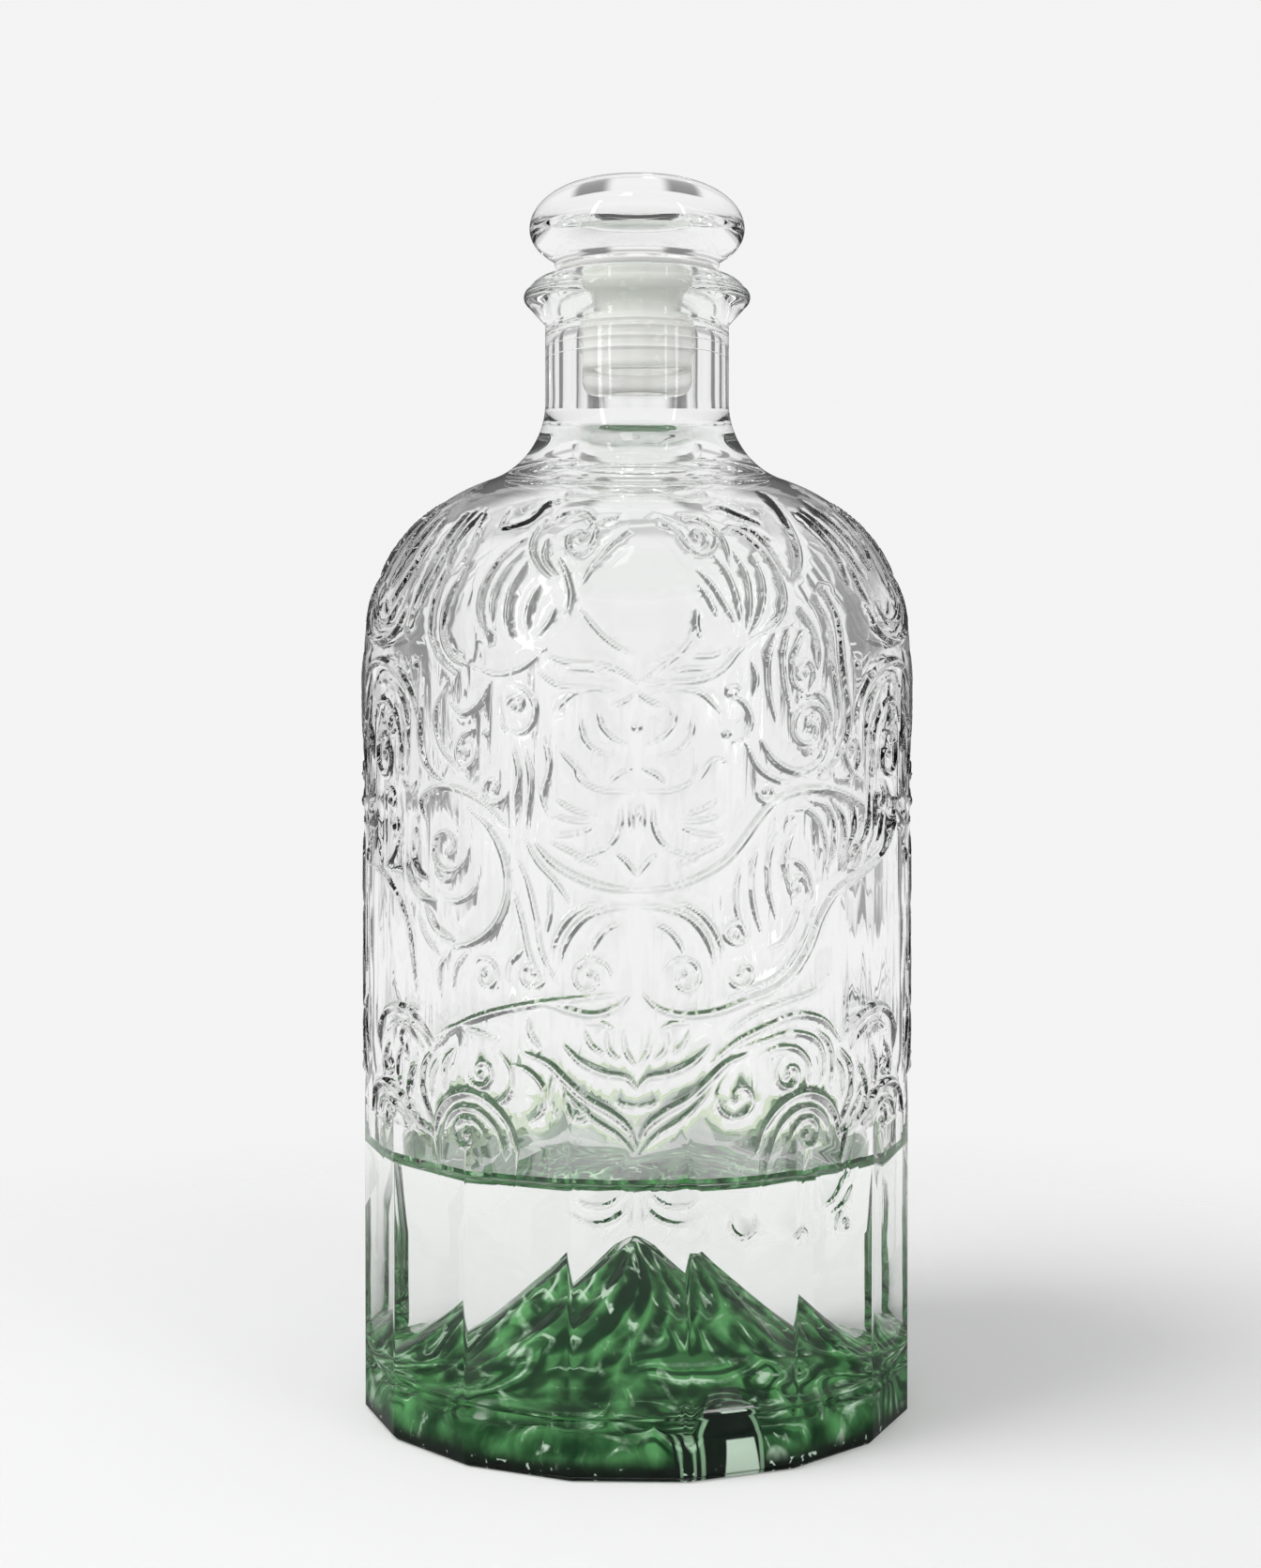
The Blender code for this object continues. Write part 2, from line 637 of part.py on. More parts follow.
def build_liner(green):
    """A thin shell that lines the punt and the portal's recess."""
    rings = punt_rings(GAP, LINER_FOOT_GAP)
    liner = loft("mountain_liner", LINER_FOOT_GAP, rings, PEAK_HEIGHT - GAP, green)
    combine(liner, portal_block("portal_shell", 0.0, portal_end(), LINER_FOOT_GAP), "UNION")
    combine(liner, punt_block("liner_hollow", GAP + LINER_THICKNESS, -OVERSHOOT), "DIFFERENCE")
    hollow_end = portal_end() - LINER_THICKNESS
    combine(liner, portal_block("portal_hollow", -LINER_THICKNESS, hollow_end, -OVERSHOOT), "DIFFERENCE")
    return liner


def build_liquor(liquid):
    """The liquid, clear of the glass all round, with a surface that climbs a little at the wall."""
    side = cavity_radius() - GAP
    rings = []
    for i in range(MENISCUS_STEPS + 1):
        share = i / MENISCUS_STEPS
        rise = MENISCUS_RISE * share * share
        rings.append(round_ring(side - MENISCUS_WIDTH * (1.0 - share), LIQUOR_LEVEL + rise))
    rings += [round_ring(r, z) for r, z in bottom_corner(GAP)] + mountain_rings(FLOOR_GLASS + GAP)
    liquor = loft("liquor", LIQUOR_LEVEL, rings, PEAK_HEIGHT + FLOOR_GLASS + GAP, liquid)
    combine(liquor, portal_block("portal_room", FLOOR_GLASS + GAP, side + WALL, 0.0), "DIFFERENCE")
    return liquor


def stopper_foot():
    """Underside of the stopper's head, which stands on the sleeve's flange."""
    return lip_top() + GAP + SEAL_FLANGE_THICKNESS + GAP


def spigot_radius():
    """What the bore leaves for the spigot inside the ribbed sleeve."""
    return BORE_RADIUS - GAP - SEAL_RIB_HEIGHT - SEAL_WALL - GAP


def build_stopper(glass):
    width = BEAD_RADIUS - BEAD_LOWER_CENTRE
    foot_angle = math.acos((STOPPER_FOOT_RADIUS - BEAD_LOWER_CENTRE) / width)
    middle = stopper_foot() + STOPPER_FOOT_HEIGHT + BEAD_LOWER_HEIGHT * math.sin(foot_angle)
    crown = BEAD_RADIUS - BEAD_CROWN_RADIUS
    quarter = math.pi / 2.0
    up, down = BEAD_UPPER_HEIGHT, BEAD_LOWER_HEIGHT
    upper = arc(BEAD_CROWN_RADIUS, middle, crown, quarter, 0.0, BEAD_UPPER_STEPS, radius_z=up)
    lower = arc(BEAD_LOWER_CENTRE, middle, width, 0.0, -foot_angle, BEAD_LOWER_STEPS, radius_z=down)
    tip_z = stopper_foot() - SPIGOT_LENGTH + SPIGOT_CORNER
    tip = arc(spigot_radius() - SPIGOT_CORNER, tip_z, SPIGOT_CORNER, 0.0, -quarter, TIP_STEPS)
    profile = [(0.0, upper[0][1])] + upper + lower[1:]
    profile += [(STOPPER_FOOT_RADIUS, stopper_foot()), (spigot_radius(), stopper_foot())]
    profile += tip + [(0.0, tip[-1][1])]
    return turned("stopper_glass", profile, glass)


def build_seal(plastic):
    inside = spigot_radius() + GAP
    outside = inside + SEAL_WALL
    flange_top = lip_top() + GAP + SEAL_FLANGE_THICKNESS
    cup_floor = stopper_foot() - SPIGOT_LENGTH - GAP
    cup_corner = SPIGOT_CORNER + GAP
    quarter = math.pi / 2.0
    cup = arc(inside - cup_corner, cup_floor + cup_corner, cup_corner, -quarter, 0.0, TIP_STEPS)
    profile = [(0.0, cup_floor)] + cup
    profile += [(inside, flange_top), (SEAL_FLANGE_RADIUS, flange_top)]
    profile += [(SEAL_FLANGE_RADIUS, lip_top() + GAP), (outside, lip_top() + GAP)]
    for i in range(SEAL_RIB_COUNT):
        top = lip_top() - SEAL_RIB_DEPTH - i * SEAL_RIB_PITCH
        profile.append((outside, top))
        profile.append((outside + SEAL_RIB_HEIGHT, top - SEAL_RIB_PITCH / 3.0))
        profile.append((outside, top - SEAL_RIB_PITCH * 2.0 / 3.0))
    tip_z = cup_floor - SEAL_TIP_THICKNESS
    corner_r = outside - SEAL_TIP_CORNER
    profile += arc(corner_r, tip_z + SEAL_TIP_CORNER, SEAL_TIP_CORNER, 0.0, -quarter, TIP_STEPS)
    profile.append((0.0, tip_z))
    return turned("stopper_seal", profile, plastic)


def main():
    clear_scene()
    clear_glass = make_material("clear_glass", (0.95, 0.97, 0.96), 0.02, 1.0, 1.51)
    stopper_clear = make_material("stopper_clear_glass", (0.96, 0.97, 0.97), 0.02, 1.0, 1.51)
    green = make_material("green_lacquer", (0.03, 0.20, 0.07), 0.08, 0.6, 1.50)
    spirit = make_material("clear_spirit", (0.98, 0.99, 0.98), 0.0, 1.0, 1.36)
    sleeve = make_material("translucent_sleeve", (0.78, 0.78, 0.70), 0.25, 0.6, 1.45)
    build_bottle(clear_glass)
    build_liner(green)
    build_liquor(spirit)
    build_seal(sleeve)
    build_stopper(stopper_clear)


main()
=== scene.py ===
import bpy
import numpy as np
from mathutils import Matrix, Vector


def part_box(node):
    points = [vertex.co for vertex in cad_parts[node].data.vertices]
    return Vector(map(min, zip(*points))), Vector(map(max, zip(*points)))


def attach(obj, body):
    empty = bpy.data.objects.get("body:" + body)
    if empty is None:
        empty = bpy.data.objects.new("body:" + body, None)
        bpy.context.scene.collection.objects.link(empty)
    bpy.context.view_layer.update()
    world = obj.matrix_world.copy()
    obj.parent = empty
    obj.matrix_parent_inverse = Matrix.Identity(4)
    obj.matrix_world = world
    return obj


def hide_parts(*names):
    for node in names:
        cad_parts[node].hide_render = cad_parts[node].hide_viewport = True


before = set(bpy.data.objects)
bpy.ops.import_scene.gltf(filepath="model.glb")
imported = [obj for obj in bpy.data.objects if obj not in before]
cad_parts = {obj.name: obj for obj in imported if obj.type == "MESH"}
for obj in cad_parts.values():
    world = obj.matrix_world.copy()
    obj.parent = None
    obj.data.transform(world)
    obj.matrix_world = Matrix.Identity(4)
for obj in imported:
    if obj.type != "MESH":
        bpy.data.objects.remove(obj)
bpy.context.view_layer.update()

glassLow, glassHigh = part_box("bottle_glass")

# Lengths are in millimetres until a mesh is made. Angles run from the front (-Y) towards +X.
perMetre = 1000.0

body = {
    "radius": -glassLow.y * perMetre,
    "lipTop": glassHigh.z * perMetre,
    "wall": 4.2,
    "ground": 0.7,            # how far the plain surface lies below the tops of the ridges
    "footSides": 16,
    "footCorner": 45.4,
    "blunt": 0.999,           # the foot's upright edges are blunted to this share of that radius
    "firstCorner": np.radians(-12.8),
    "footTop": 50.0,
    "footBlend": 8.0,
    "heelChamfer": 0.7,
    "heelWidth": 2.84,
    "shoulderStart": 124.4,
    "shoulderRadius": 30.0,
    "neckRadius": 15.25,
    "neckFillet": 14.0,
    "boreRadius": 9.75,
    "boreFillet": 8.0,
    "lipDepth": 8.0, "lipFoot": 0.25,        # height of the lip; how far its foot stands out from the neck
    "lipRadius": 18.8,
    "lipFace": 14.4,
    "lipEdge": 1.6, "lipEdgeDrop": 3.7,      # the lip's round edge: its radius, and how low its middle lies
    "lipEdgeFrom": -55, "lipEdgeTo": 65,     # and the part of a circle that it takes, in degrees
    "lipTurn": 17.0, "lipTurnDrop": 0.7,     # where the lip's face bends down to that edge
    "mouthRounding": 0.6,
    "notchDepth": 0.22, "notchColumns": 18, "notchPower": 40,     # the small sharp notches in the heel
    "notchShares": (0.12, 0.35, 0.65, 0.88),                      # their rings, across the heel's width
    "ornamentFrom": 33.0, "ornamentTo": 152.0,
    "columns": 1152,          # round the ornament, a multiple of the foot's sides
    "rowStep": 0.3,
    "coarse": 6,              # how many of those columns one cell spans on the floor
    "coarseTurned": 12,       # and on the turned parts
    "faces": 190000,
}

floorForm = {
    "peak": 29.2,
    "edge": 5.6,
    "glass": 2.4,
    "corner": 4.0,
    "power": 1.6,
    "tip": 0.02,              # how far from the axis the peak is rounded, as a share of the floor's radius
    "spurs": 5, "spurDepth": 0.05,
    "gullies": 8, "gullyDepth": 0.04,
    "twist": 0.9,
}
cavityRadius = body["radius"] - body["wall"]
floorRadius = cavityRadius - floorForm["corner"]
cornerZ = floorForm["edge"] + floorForm["glass"] + floorForm["corner"]   # middle of the cavity's round corner
heelFlat = (body["footCorner"] - body["heelChamfer"]) * np.cos(np.pi / body["footSides"])
puntRadius = heelFlat - body["heelWidth"]


def turnPoints(radius, azimuth, z):     # radius, azimuth and height become x, y, z
    return np.stack(np.broadcast_arrays(radius * np.sin(azimuth), -radius * np.cos(azimuth), z), axis=-1)


def azimuths(columns):                 # evenly round the axis, from a corner of the foot
    return body["firstCorner"] + 2 * np.pi * np.arange(columns) / columns


def arc(centreR, centreZ, radius, start, end, steps, radiusZ=None):   # part of a circle or ellipse in (r, z)
    angle = np.linspace(start, end, steps + 1)
    height = radiusZ or radius
    return np.stack([centreR + radius * np.cos(angle), centreZ + height * np.sin(angle)], axis=-1)


def shoulder(side, radius, throat, fillet, steps):     # a round shoulder, then a tangent fillet into the neck
    centre = side - radius
    across = throat + fillet - centre
    rise = np.sqrt((radius + fillet) ** 2 - across ** 2)
    meet = np.arctan2(rise, across)
    lower = arc(centre, body["shoulderStart"], radius, 0, meet, steps)
    upper = arc(throat + fillet, body["shoulderStart"] + rise, fillet, meet - np.pi, -np.pi, steps)
    return np.concatenate([lower, upper[1:]])


def roundEdge(before, corner, after, radius, steps=6):
    # points that round a corner of a profile; with no radius the curve runs from before to after
    a, c, b = (np.array(p, float) for p in (before, corner, after))
    if radius:
        a, b = c + (a - c) * radius / np.linalg.norm(a - c), c + (b - c) * radius / np.linalg.norm(b - c)
    t = np.linspace(0, 1, steps)[:, None]
    return (1 - t) ** 2 * a + 2 * t * (1 - t) * c + t**2 * b


def evenly(profile, spacing):          # the same (r, z) line with points at an even distance along it
    along = np.r_[0, np.cumsum(np.hypot(*np.diff(profile, axis=0).T))]
    new = np.linspace(0, along[-1], int(round(along[-1] / spacing)) + 1)
    return np.stack([np.interp(new, along, profile[:, k]) for k in (0, 1)], axis=-1), new


# Ornament, drawn on the unrolled front: s runs to the right from the middle of the front, z is the height.
# A ridge is (points, half width) and a fine line only its points. A curl is (s, z, radius, turns, start
# angle, hand), with a half width where it isn't fine. A dome is (s, z, radius). The left side's are drawn on
# the right and mirrored.
unrollRadius = 45.7
ornament = {
    "height": 0.51,
    "middle": 0.96,         # share of that height in the middle of the front
    "least": 0.60,          # half width of the fine lines and curls
    "fullWidth": 0.80,      # half width of a ridge that has the full height
    "mainWidth": 0.75,      # half width from which a stroke counts as a main one on the back
    "backMain": 0.30, "backFine": 0.12,     # share of the height on the back, for main strokes and the rest
    "leanFrom": 15.0, "leanFull": 34.0,     # slope in degrees over which a flank takes its painted shade, a darker tint
    "backFrom": 90.0, "backFull": 105.0,    # degrees from the front over which it falls to the back's height
    "middleWidth": 24.0,                    # degrees from the front over which it rises from the middle's
    "skinDepth": 2.2, "skinDepthUp": 0.8,   # what lies this deep in the wall or the shoulder isn't ornament
    "smoothTo": 66.0,                       # degrees round the shoulder up to which the normals are smoothed
    "ridgesBoth": [
        ([(0.4, 86.4), (4, 86.2), (7.5, 85), (10, 82.6), (11.4, 79.6), (11.8, 77)], 0.75),
        ([(0, 59.2), (1.4, 60.8), (4.8, 61.5), (8.4, 63.1), (11.2, 65.6)], 0.85),
        ([(0, 50), (1.4, 53.4), (4, 55.6), (7.6, 57.6), (11, 60.4), (13.4, 62.6), (17.4, 64.1)], 0.9),
        ([(19, 49), (20.4, 53), (23.2, 56), (27.4, 57.4), (31.6, 56), (34.4, 53), (35.6, 49.6)], 0.95),
        ([(35.2, 50), (38.4, 51), (41.4, 53.1), (44.8, 55.4), (48.6, 56.4), (52.4, 55.8), (56, 53.8),
          (58.6, 50.4)], 0.95),
        ([(35, 64.6), (38.6, 67.2), (43.8, 68.9), (48.8, 67.8), (52.6, 64.8)], 0.95),
        ([(34.8, 63.4), (37.2, 60.6), (37.7, 57), (36.4, 53.4), (34.8, 50.8)], 0.8),
        ([(38.4, 113.6), (40.2, 117.6), (43, 120.6), (47, 122.4), (52, 123), (57, 122), (61.6, 119.2)], 0.95),
        ([(41.4, 109.6), (41.6, 114), (43.8, 118), (47.6, 120.2), (51.6, 119.8)], 0.7),
        ([(44.4, 104.6), (43.4, 109), (44.6, 113.4), (48, 116.6), (52, 116.2), (54.4, 112.8)], 0.7),
        ([(43, 131.4), (45.2, 128), (49, 126.5), (54, 126.4), (59.4, 127.8), (63, 130.6)], 0.95),
        ([(56, 117.4), (59.6, 114), (61.4, 109.4), (60.6, 104.6)], 0.8),
        ([(63.4, 124.6), (66.6, 120.4), (68.4, 115), (68.4, 109)], 0.8),
        ([(54, 104.4), (57.4, 101.6), (61.6, 100.6), (65.8, 102)], 0.7),
        ([(60.6, 56), (63.4, 59.4), (65, 63.4), (64.6, 68)], 0.7),
        ([(66.4, 64), (68.4, 68.6), (68.8, 74), (67.4, 79)], 0.7),
        ([(68.6, 82), (66.4, 86), (65.6, 90.6), (67, 95)], 0.65),
        ([(58, 148), (60.4, 142), (60.2, 136)], 0.8),
        ([(66, 149), (66.6, 143), (64.8, 137)], 0.8),
    ],
    "ridgesRight": [
        ([(0, 88.8), (5, 89.3), (10, 91.1), (13.5, 93.1), (16.5, 96.2), (19, 99.4), (21.5, 101.7),
          (25, 103.1), (30, 103.5), (36, 102.4), (41, 100.6)], 0.95),
        ([(1, 73.3), (2.8, 71.5), (6, 70.3), (11.5, 70.4), (17, 72), (22.5, 73.8), (25.5, 76),
          (28.3, 79.6), (30.8, 84.4), (33.6, 87.4), (38, 89.4), (43, 91.1), (48, 93.5), (52.4, 97.4)], 1.05),
        ([(0, 119.7), (2, 120.8), (5, 123), (7.3, 125.1), (9, 128.2)], 0.65),
        ([(0, 119.4), (5, 119.8), (10, 120.2), (13, 121.6), (15.8, 124.6), (19, 127)], 0.7),
        ([(13.8, 146), (16.6, 146.4), (19.6, 145.4), (23.6, 144)], 0.65),
        ([(26.2, 135.2), (28.2, 137.2), (29.6, 140.4), (30, 144), (30.1, 149)], 1.05),
        ([(14.2, 142), (17, 143), (20.6, 141), (23.2, 137.4), (24.2, 133), (23, 129.4), (20.4, 127.4),
          (17.8, 126.4)], 0.7),
        ([(32.6, 134), (34.4, 130), (35, 125), (35.9, 119.6), (36.9, 115.2), (36.2, 111), (33.6, 107.8),
          (30.2, 105.8)], 0.95),
        ([(19.4, 111), (21.4, 108.2), (24.6, 106.5), (28, 106.6), (30.8, 108.6), (31.9, 112)], 0.85),
        ([(38.4, 100.2), (38.4, 97), (36.6, 94.2), (34.8, 92)], 0.65),
        ([(11, 62.6), (15, 65.7), (20, 67.8), (26.4, 69.3), (31.6, 67.8), (34.8, 64.6)], 0.75),
        ([(35.2, 146), (37.6, 142.8), (38.8, 139), (38.8, 134.6)], 1),
        ([(37.2, 146.6), (41, 141.6), (45, 136)], 0.75),
        ([(41, 148), (45.4, 143), (48.6, 137.6)], 0.7),
        ([(54.6, 147.6), (52.4, 142.4), (49.4, 138)], 1.1),
        ([(41.4, 138), (42, 134.6), (43.8, 132)], 0.7),
    ],
    "ridgesLeft": [
        ([(0, 88.8), (5, 89.4), (10, 91.2), (13, 93), (15.6, 95.6)], 0.9),
        ([(1, 73.3), (3, 71.5), (6.4, 70.2), (10, 70.7), (14, 71.7), (18, 70.9)], 0.85),
        ([(35.2, 63.4), (30.4, 66.9), (24.4, 69.4), (17, 71.3), (9, 72.6), (3, 73.4)], 0.8),
        ([(0, 119.7), (3, 121.6), (6, 122.4), (10, 122.6), (14.4, 124)], 0.7),
        ([(15.6, 147), (18.4, 147.2), (20, 144.8), (23.4, 143.6), (26, 143.4), (26.6, 146.4)], 0.75),
        ([(20, 141.6), (23.4, 139), (25.6, 135), (25.8, 130.6), (24, 126.4)], 0.7),
        ([(30.6, 137), (32.9, 131), (32.6, 126.6), (30.6, 123.6), (27.8, 122.2)], 0.95),
        ([(38, 146), (39.4, 138), (41.4, 128.6)], 1.05),
        ([(43.6, 142.4), (45.2, 137), (48.6, 132.6)], 0.85),
        ([(47.4, 146), (48.4, 140), (51.2, 135.4)], 0.8),
        ([(53.6, 147), (52.6, 142.6), (50.6, 139.4)], 0.9),
        ([(37.4, 117.6), (38.2, 112), (36.6, 107), (33, 104.4)], 0.9),
        ([(39, 97.6), (40, 93.8), (38.6, 90.6), (36.2, 89.6)], 0.95),
        ([(41.6, 93.6), (41, 89.6), (38, 86.8), (34.4, 86.2)], 0.95),
        ([(36.4, 98), (38, 101.4), (34, 103.6), (29, 103.4), (24, 101.2), (20.6, 98)], 0.75),
        ([(27.6, 100.8), (23.6, 97.8), (21, 93.4), (20.4, 88.4), (22.4, 83.4), (26.4, 80.4),
          (31, 79.2)], 0.8),
        ([(36.8, 85.4), (34.4, 82.2), (30.4, 80.4)], 0.95),
        ([(39.4, 73), (40.4, 78), (42, 83), (45.6, 87), (50.6, 89.6), (55.4, 90.4)], 1),
        ([(35.4, 63), (37.8, 66), (40.4, 67.2), (40.6, 69.2), (38.4, 69.4)], 0.65),
        ([(16.8, 69.4), (16.4, 67), (14.8, 65)], 0.7),
    ],
    "linesBoth": [
        [(1.8, 84.2), (4.6, 83), (6.6, 80.6), (7.2, 78.9)],
        [(3, 86.9), (7.5, 86.6), (11, 84), (12.8, 80.5), (13.1, 77.5)],
        [(0, 118.2), (1.8, 117), (4.2, 116.1)],
        [(2.6, 118.1), (6, 118.8), (9.5, 118.2), (13, 115)],
        [(4, 121.1), (8, 121.8), (12, 121.6)],
        [(0.7, 107), (2.6, 106.3), (4.4, 104.7)],
        [(0.6, 103.6), (4, 103.5), (7, 104.3), (9, 105.9), (9.2, 108)],
        [(1.5, 110.5), (3.6, 111.5), (5.4, 113.6), (5.8, 116)],
        [(3.2, 108.8), (6.2, 109.6), (8, 111.6), (8.6, 114.6)],
        [(6.2, 99.9), (9.6, 100.8), (12.8, 102.6)],
        [(6.2, 99.2), (9.8, 99.2), (13.4, 100.2)],
        [(6.4, 98.2), (9.8, 97.2), (13.4, 97)],
        [(2.4, 101.5), (2.7, 98), (4.2, 95.6), (5.6, 95)],
        [(0.6, 102), (0.9, 99.4), (0.6, 97.4)],
        [(0, 91), (1.6, 93.2), (3.2, 94.4)],
        [(4.3, 95), (6.8, 94.3), (9.2, 93)],
        [(5.5, 92.3), (8, 93.6), (11.5, 95.2), (13.5, 96)],
        [(0.4, 49.4), (3, 52.2), (6.4, 54.4), (9.6, 57.2), (12, 60)],
        [(0, 56.6), (1.8, 56.8), (3.2, 57.5)],
        [(0.2, 62.6), (1.7, 65), (2.1, 68.2)],
        [(2.6, 63.4), (4.2, 65), (4.6, 68.2)],
        [(5, 64.4), (6.8, 65.6), (8, 68)],
        [(3.3, 68), (5.4, 69), (8, 69)],
        [(0.8, 43.6), (1.9, 40.8), (4.4, 39.2), (7, 38.9), (10.2, 40.4)],
        [(1.8, 43.6), (4.2, 41.8), (7, 41.6), (9.6, 42.6)],
        [(0.5, 43), (1.2, 40.2), (0.6, 38)],
        [(21.4, 48.6), (22.8, 52.4), (26, 54.9), (29.6, 54.7), (32.4, 52.2), (33.4, 48.8)],
        [(40, 50), (43.6, 52.4), (47.6, 53.8), (51.4, 53.2), (54.2, 50.8)],
        [(37.4, 63), (41, 65.6), (45, 66.4), (48.8, 64.6)],
        [(33.8, 62), (35.4, 59.4), (35.5, 56)],
        [(39.2, 60.8), (41.4, 57.6), (42, 54.4)],
        [(43.2, 63.4), (44.8, 60), (44.4, 56.8)],
        [(47.6, 63), (49.8, 60.4), (50, 57.4)],
        [(45.6, 133), (48, 130), (52, 129), (56.4, 130.4), (59, 133.4)],
        [(52.6, 99.4), (56.6, 97.4), (61, 96.6), (65.4, 97.6)],
        [(57, 59.6), (59.8, 62.4), (60.8, 66.4), (59, 70)],
        [(62.4, 72.6), (64.8, 76.4), (65.2, 81), (63.4, 85.2)],
        [(71.4, 138), (67.6, 134), (65.4, 129.4)],
    ],
    "linesRight": [
        [(12, 71.8), (17, 73.6), (22, 75.4), (24.8, 77.8), (27.2, 81.2), (29.4, 85.4), (31.4, 88)],
        [(1.8, 122.6), (6, 123.6), (11.6, 123.8), (15, 125.2)],
        [(9.4, 130.8), (9, 128.4), (9.8, 126)],
        [(3.8, 144.6), (7, 142.6), (8.6, 140.2), (10.8, 138.9), (13, 139.7), (14.2, 142.2)],
        [(8.4, 144.8), (11, 144.6), (13.6, 143.2), (15.2, 140.6), (15.2, 137.4)],
        [(16.6, 143.6), (20, 143.1), (24.4, 141.4)],
        [(20.4, 143.8), (23.4, 140.4), (25, 136.8), (26.4, 135.1)],
        [(17.6, 126.8), (19.6, 130.4), (20.6, 134.6), (19.8, 139)],
        [(17, 127.4), (17.8, 131.4), (17.8, 136), (16.4, 139.6)],
        [(16.2, 128), (15.8, 132), (14.6, 136), (12.8, 139)],
        [(15.4, 128.4), (13.6, 131.4), (11.8, 134.4), (9.4, 136.8)],
        [(10, 134), (11.4, 131.6), (12.4, 129.4)],
        [(30.6, 132.6), (32.4, 128.6), (33, 124), (33.8, 119), (34.4, 115), (33.6, 111.6)],
        [(27, 131), (29, 128), (30, 124), (29.4, 120)],
        [(24.6, 128), (23.2, 124), (23.6, 119.4), (24.6, 115.6)],
        [(22, 127), (20.6, 123), (20.8, 118), (22, 113.8)],
        [(27.6, 127.6), (26, 125.2), (24.8, 122.4), (25.2, 119.6), (27.2, 118.2)],
        [(27.6, 117.6), (30, 118), (31.8, 116.6), (33, 113.8)],
        [(16.8, 110.8), (19, 106.8), (22.4, 104.9), (26, 104.6)],
        [(14, 107.6), (11.8, 108.4), (10.2, 106.6), (8.6, 104.2)],
        [(13.6, 117.6), (16, 117), (17.6, 114.6), (17, 111.8), (14.8, 110.6)],
        [(17.8, 122.8), (18.6, 120.2), (18, 117.6)],
        [(40.6, 104.4), (37.4, 106.2), (35.6, 109.4), (36.4, 113)],
        [(33.6, 105), (37, 105), (39.4, 107.6), (39.2, 111)],
        [(24.4, 100.4), (27.6, 100.4), (30.4, 98.2), (31.6, 94.8), (31.4, 91.8)],
        [(28.4, 101.8), (32, 100.6), (33.6, 97.4), (33.4, 94), (32, 91.2)],
        [(33, 101.6), (35.6, 98.8), (36, 95.6), (34.4, 92.6)],
        [(43, 99.6), (41.6, 96.2), (38.8, 93.8), (36, 91.4)],
        [(47, 99), (45.4, 95.4), (42, 92.8)],
        [(26, 99), (24.2, 95.4), (23.8, 91), (25.2, 87)],
        [(22.6, 98), (20.8, 94), (20.6, 89), (22, 84)],
        [(19, 95.6), (17.8, 91), (18.2, 86), (19.6, 81.6)],
        [(16, 92.4), (15.2, 88.6), (15.6, 84.6), (17.2, 81)],
        [(22.6, 92.4), (25.6, 92.6), (28, 90.4), (28.4, 87.4), (26.4, 85.4)],
        [(20.4, 79.6), (23, 80.6), (25.2, 83.4), (26.4, 86.6)],
        [(13, 84), (13.6, 81.6), (15.4, 80.6), (17.6, 81.4)],
        [(15.4, 64.6), (20, 65.8), (25.4, 66.6), (30, 64.8), (31.4, 61.2), (30.2, 57.8)],
        [(13.4, 67), (18, 69.8), (24, 71.6), (29, 72.8), (33, 75.4)],
        [(19, 63.4), (22.6, 64.6), (26.4, 63.8), (28.4, 61), (27.8, 58.2)],
        [(29.4, 66.8), (32.2, 64.6), (33.2, 61.2), (32.4, 58)],
        [(15, 40.6), (14.6, 38), (16.6, 36.2), (18.8, 37.4), (18.6, 40)],
        [(31.2, 39.2), (34, 40.2), (36.4, 42.6), (38, 44)],
        [(33.6, 38), (36.6, 39.2), (38.8, 41.8)],
        [(35.6, 45), (37.4, 51), (41.2, 57.4)],
        [(48.4, 112.6), (50.8, 114.6), (51.6, 118)],
    ],
    "linesLeft": [
        [(14.2, 124.6), (18, 121.8), (22, 121), (27, 122.4)],
        [(0.6, 123.6), (4.6, 126.2), (9, 131)],
        [(5.4, 119.4), (9, 119), (12.6, 119.6), (15.4, 121.4)],
        [(1.6, 142.8), (5, 139.8), (7.4, 136.6), (9, 133.6)],
        [(3.6, 144.8), (7, 143.8), (9.4, 141.6)],
        [(16.6, 143.6), (14.4, 145.2), (11, 145.6), (7.8, 144.4)],
        [(13, 138.4), (11.2, 135.6), (10.2, 132.4), (10.8, 129.4)],
        [(17.4, 144.6), (18.4, 140.6), (16, 137), (13.8, 135.2)],
        [(15.8, 141.6), (15.4, 138.2), (13.2, 136)],
        [(19.6, 139.6), (22.4, 136.4), (23.6, 132.4), (23, 128)],
        [(18.6, 138), (20.4, 134), (20.8, 130), (19.8, 126)],
        [(15.6, 134.4), (17, 131), (17.2, 127.4)],
        [(12.6, 131), (13.6, 128.6), (15.6, 126.6)],
        [(35, 138), (36, 132), (35.4, 126.6), (33, 122.8), (29.6, 120.6)],
        [(33, 146.6), (35, 143), (35.2, 139.4), (33.4, 136.6), (31.4, 138.4), (31.2, 142), (32.8, 146.4)],
        [(36.2, 146.4), (37, 139), (39, 131.4)],
        [(21.4, 119.4), (17.6, 118.8), (15.6, 115.6), (17, 112.6), (20.4, 112.4), (22.2, 115)],
        [(23.4, 119.6), (25.6, 116.4), (28.6, 115), (31.6, 117)],
        [(32, 119.4), (34.4, 115.4), (33.4, 110.4), (30.4, 107.4), (27.8, 106.4)],
        [(26.2, 112.6), (28.8, 111.4), (29.8, 108.8), (28.2, 106.4)],
        [(19.6, 110.6), (18.4, 106), (19.4, 101.4)],
        [(17.4, 110), (16.4, 105), (17.2, 99.4)],
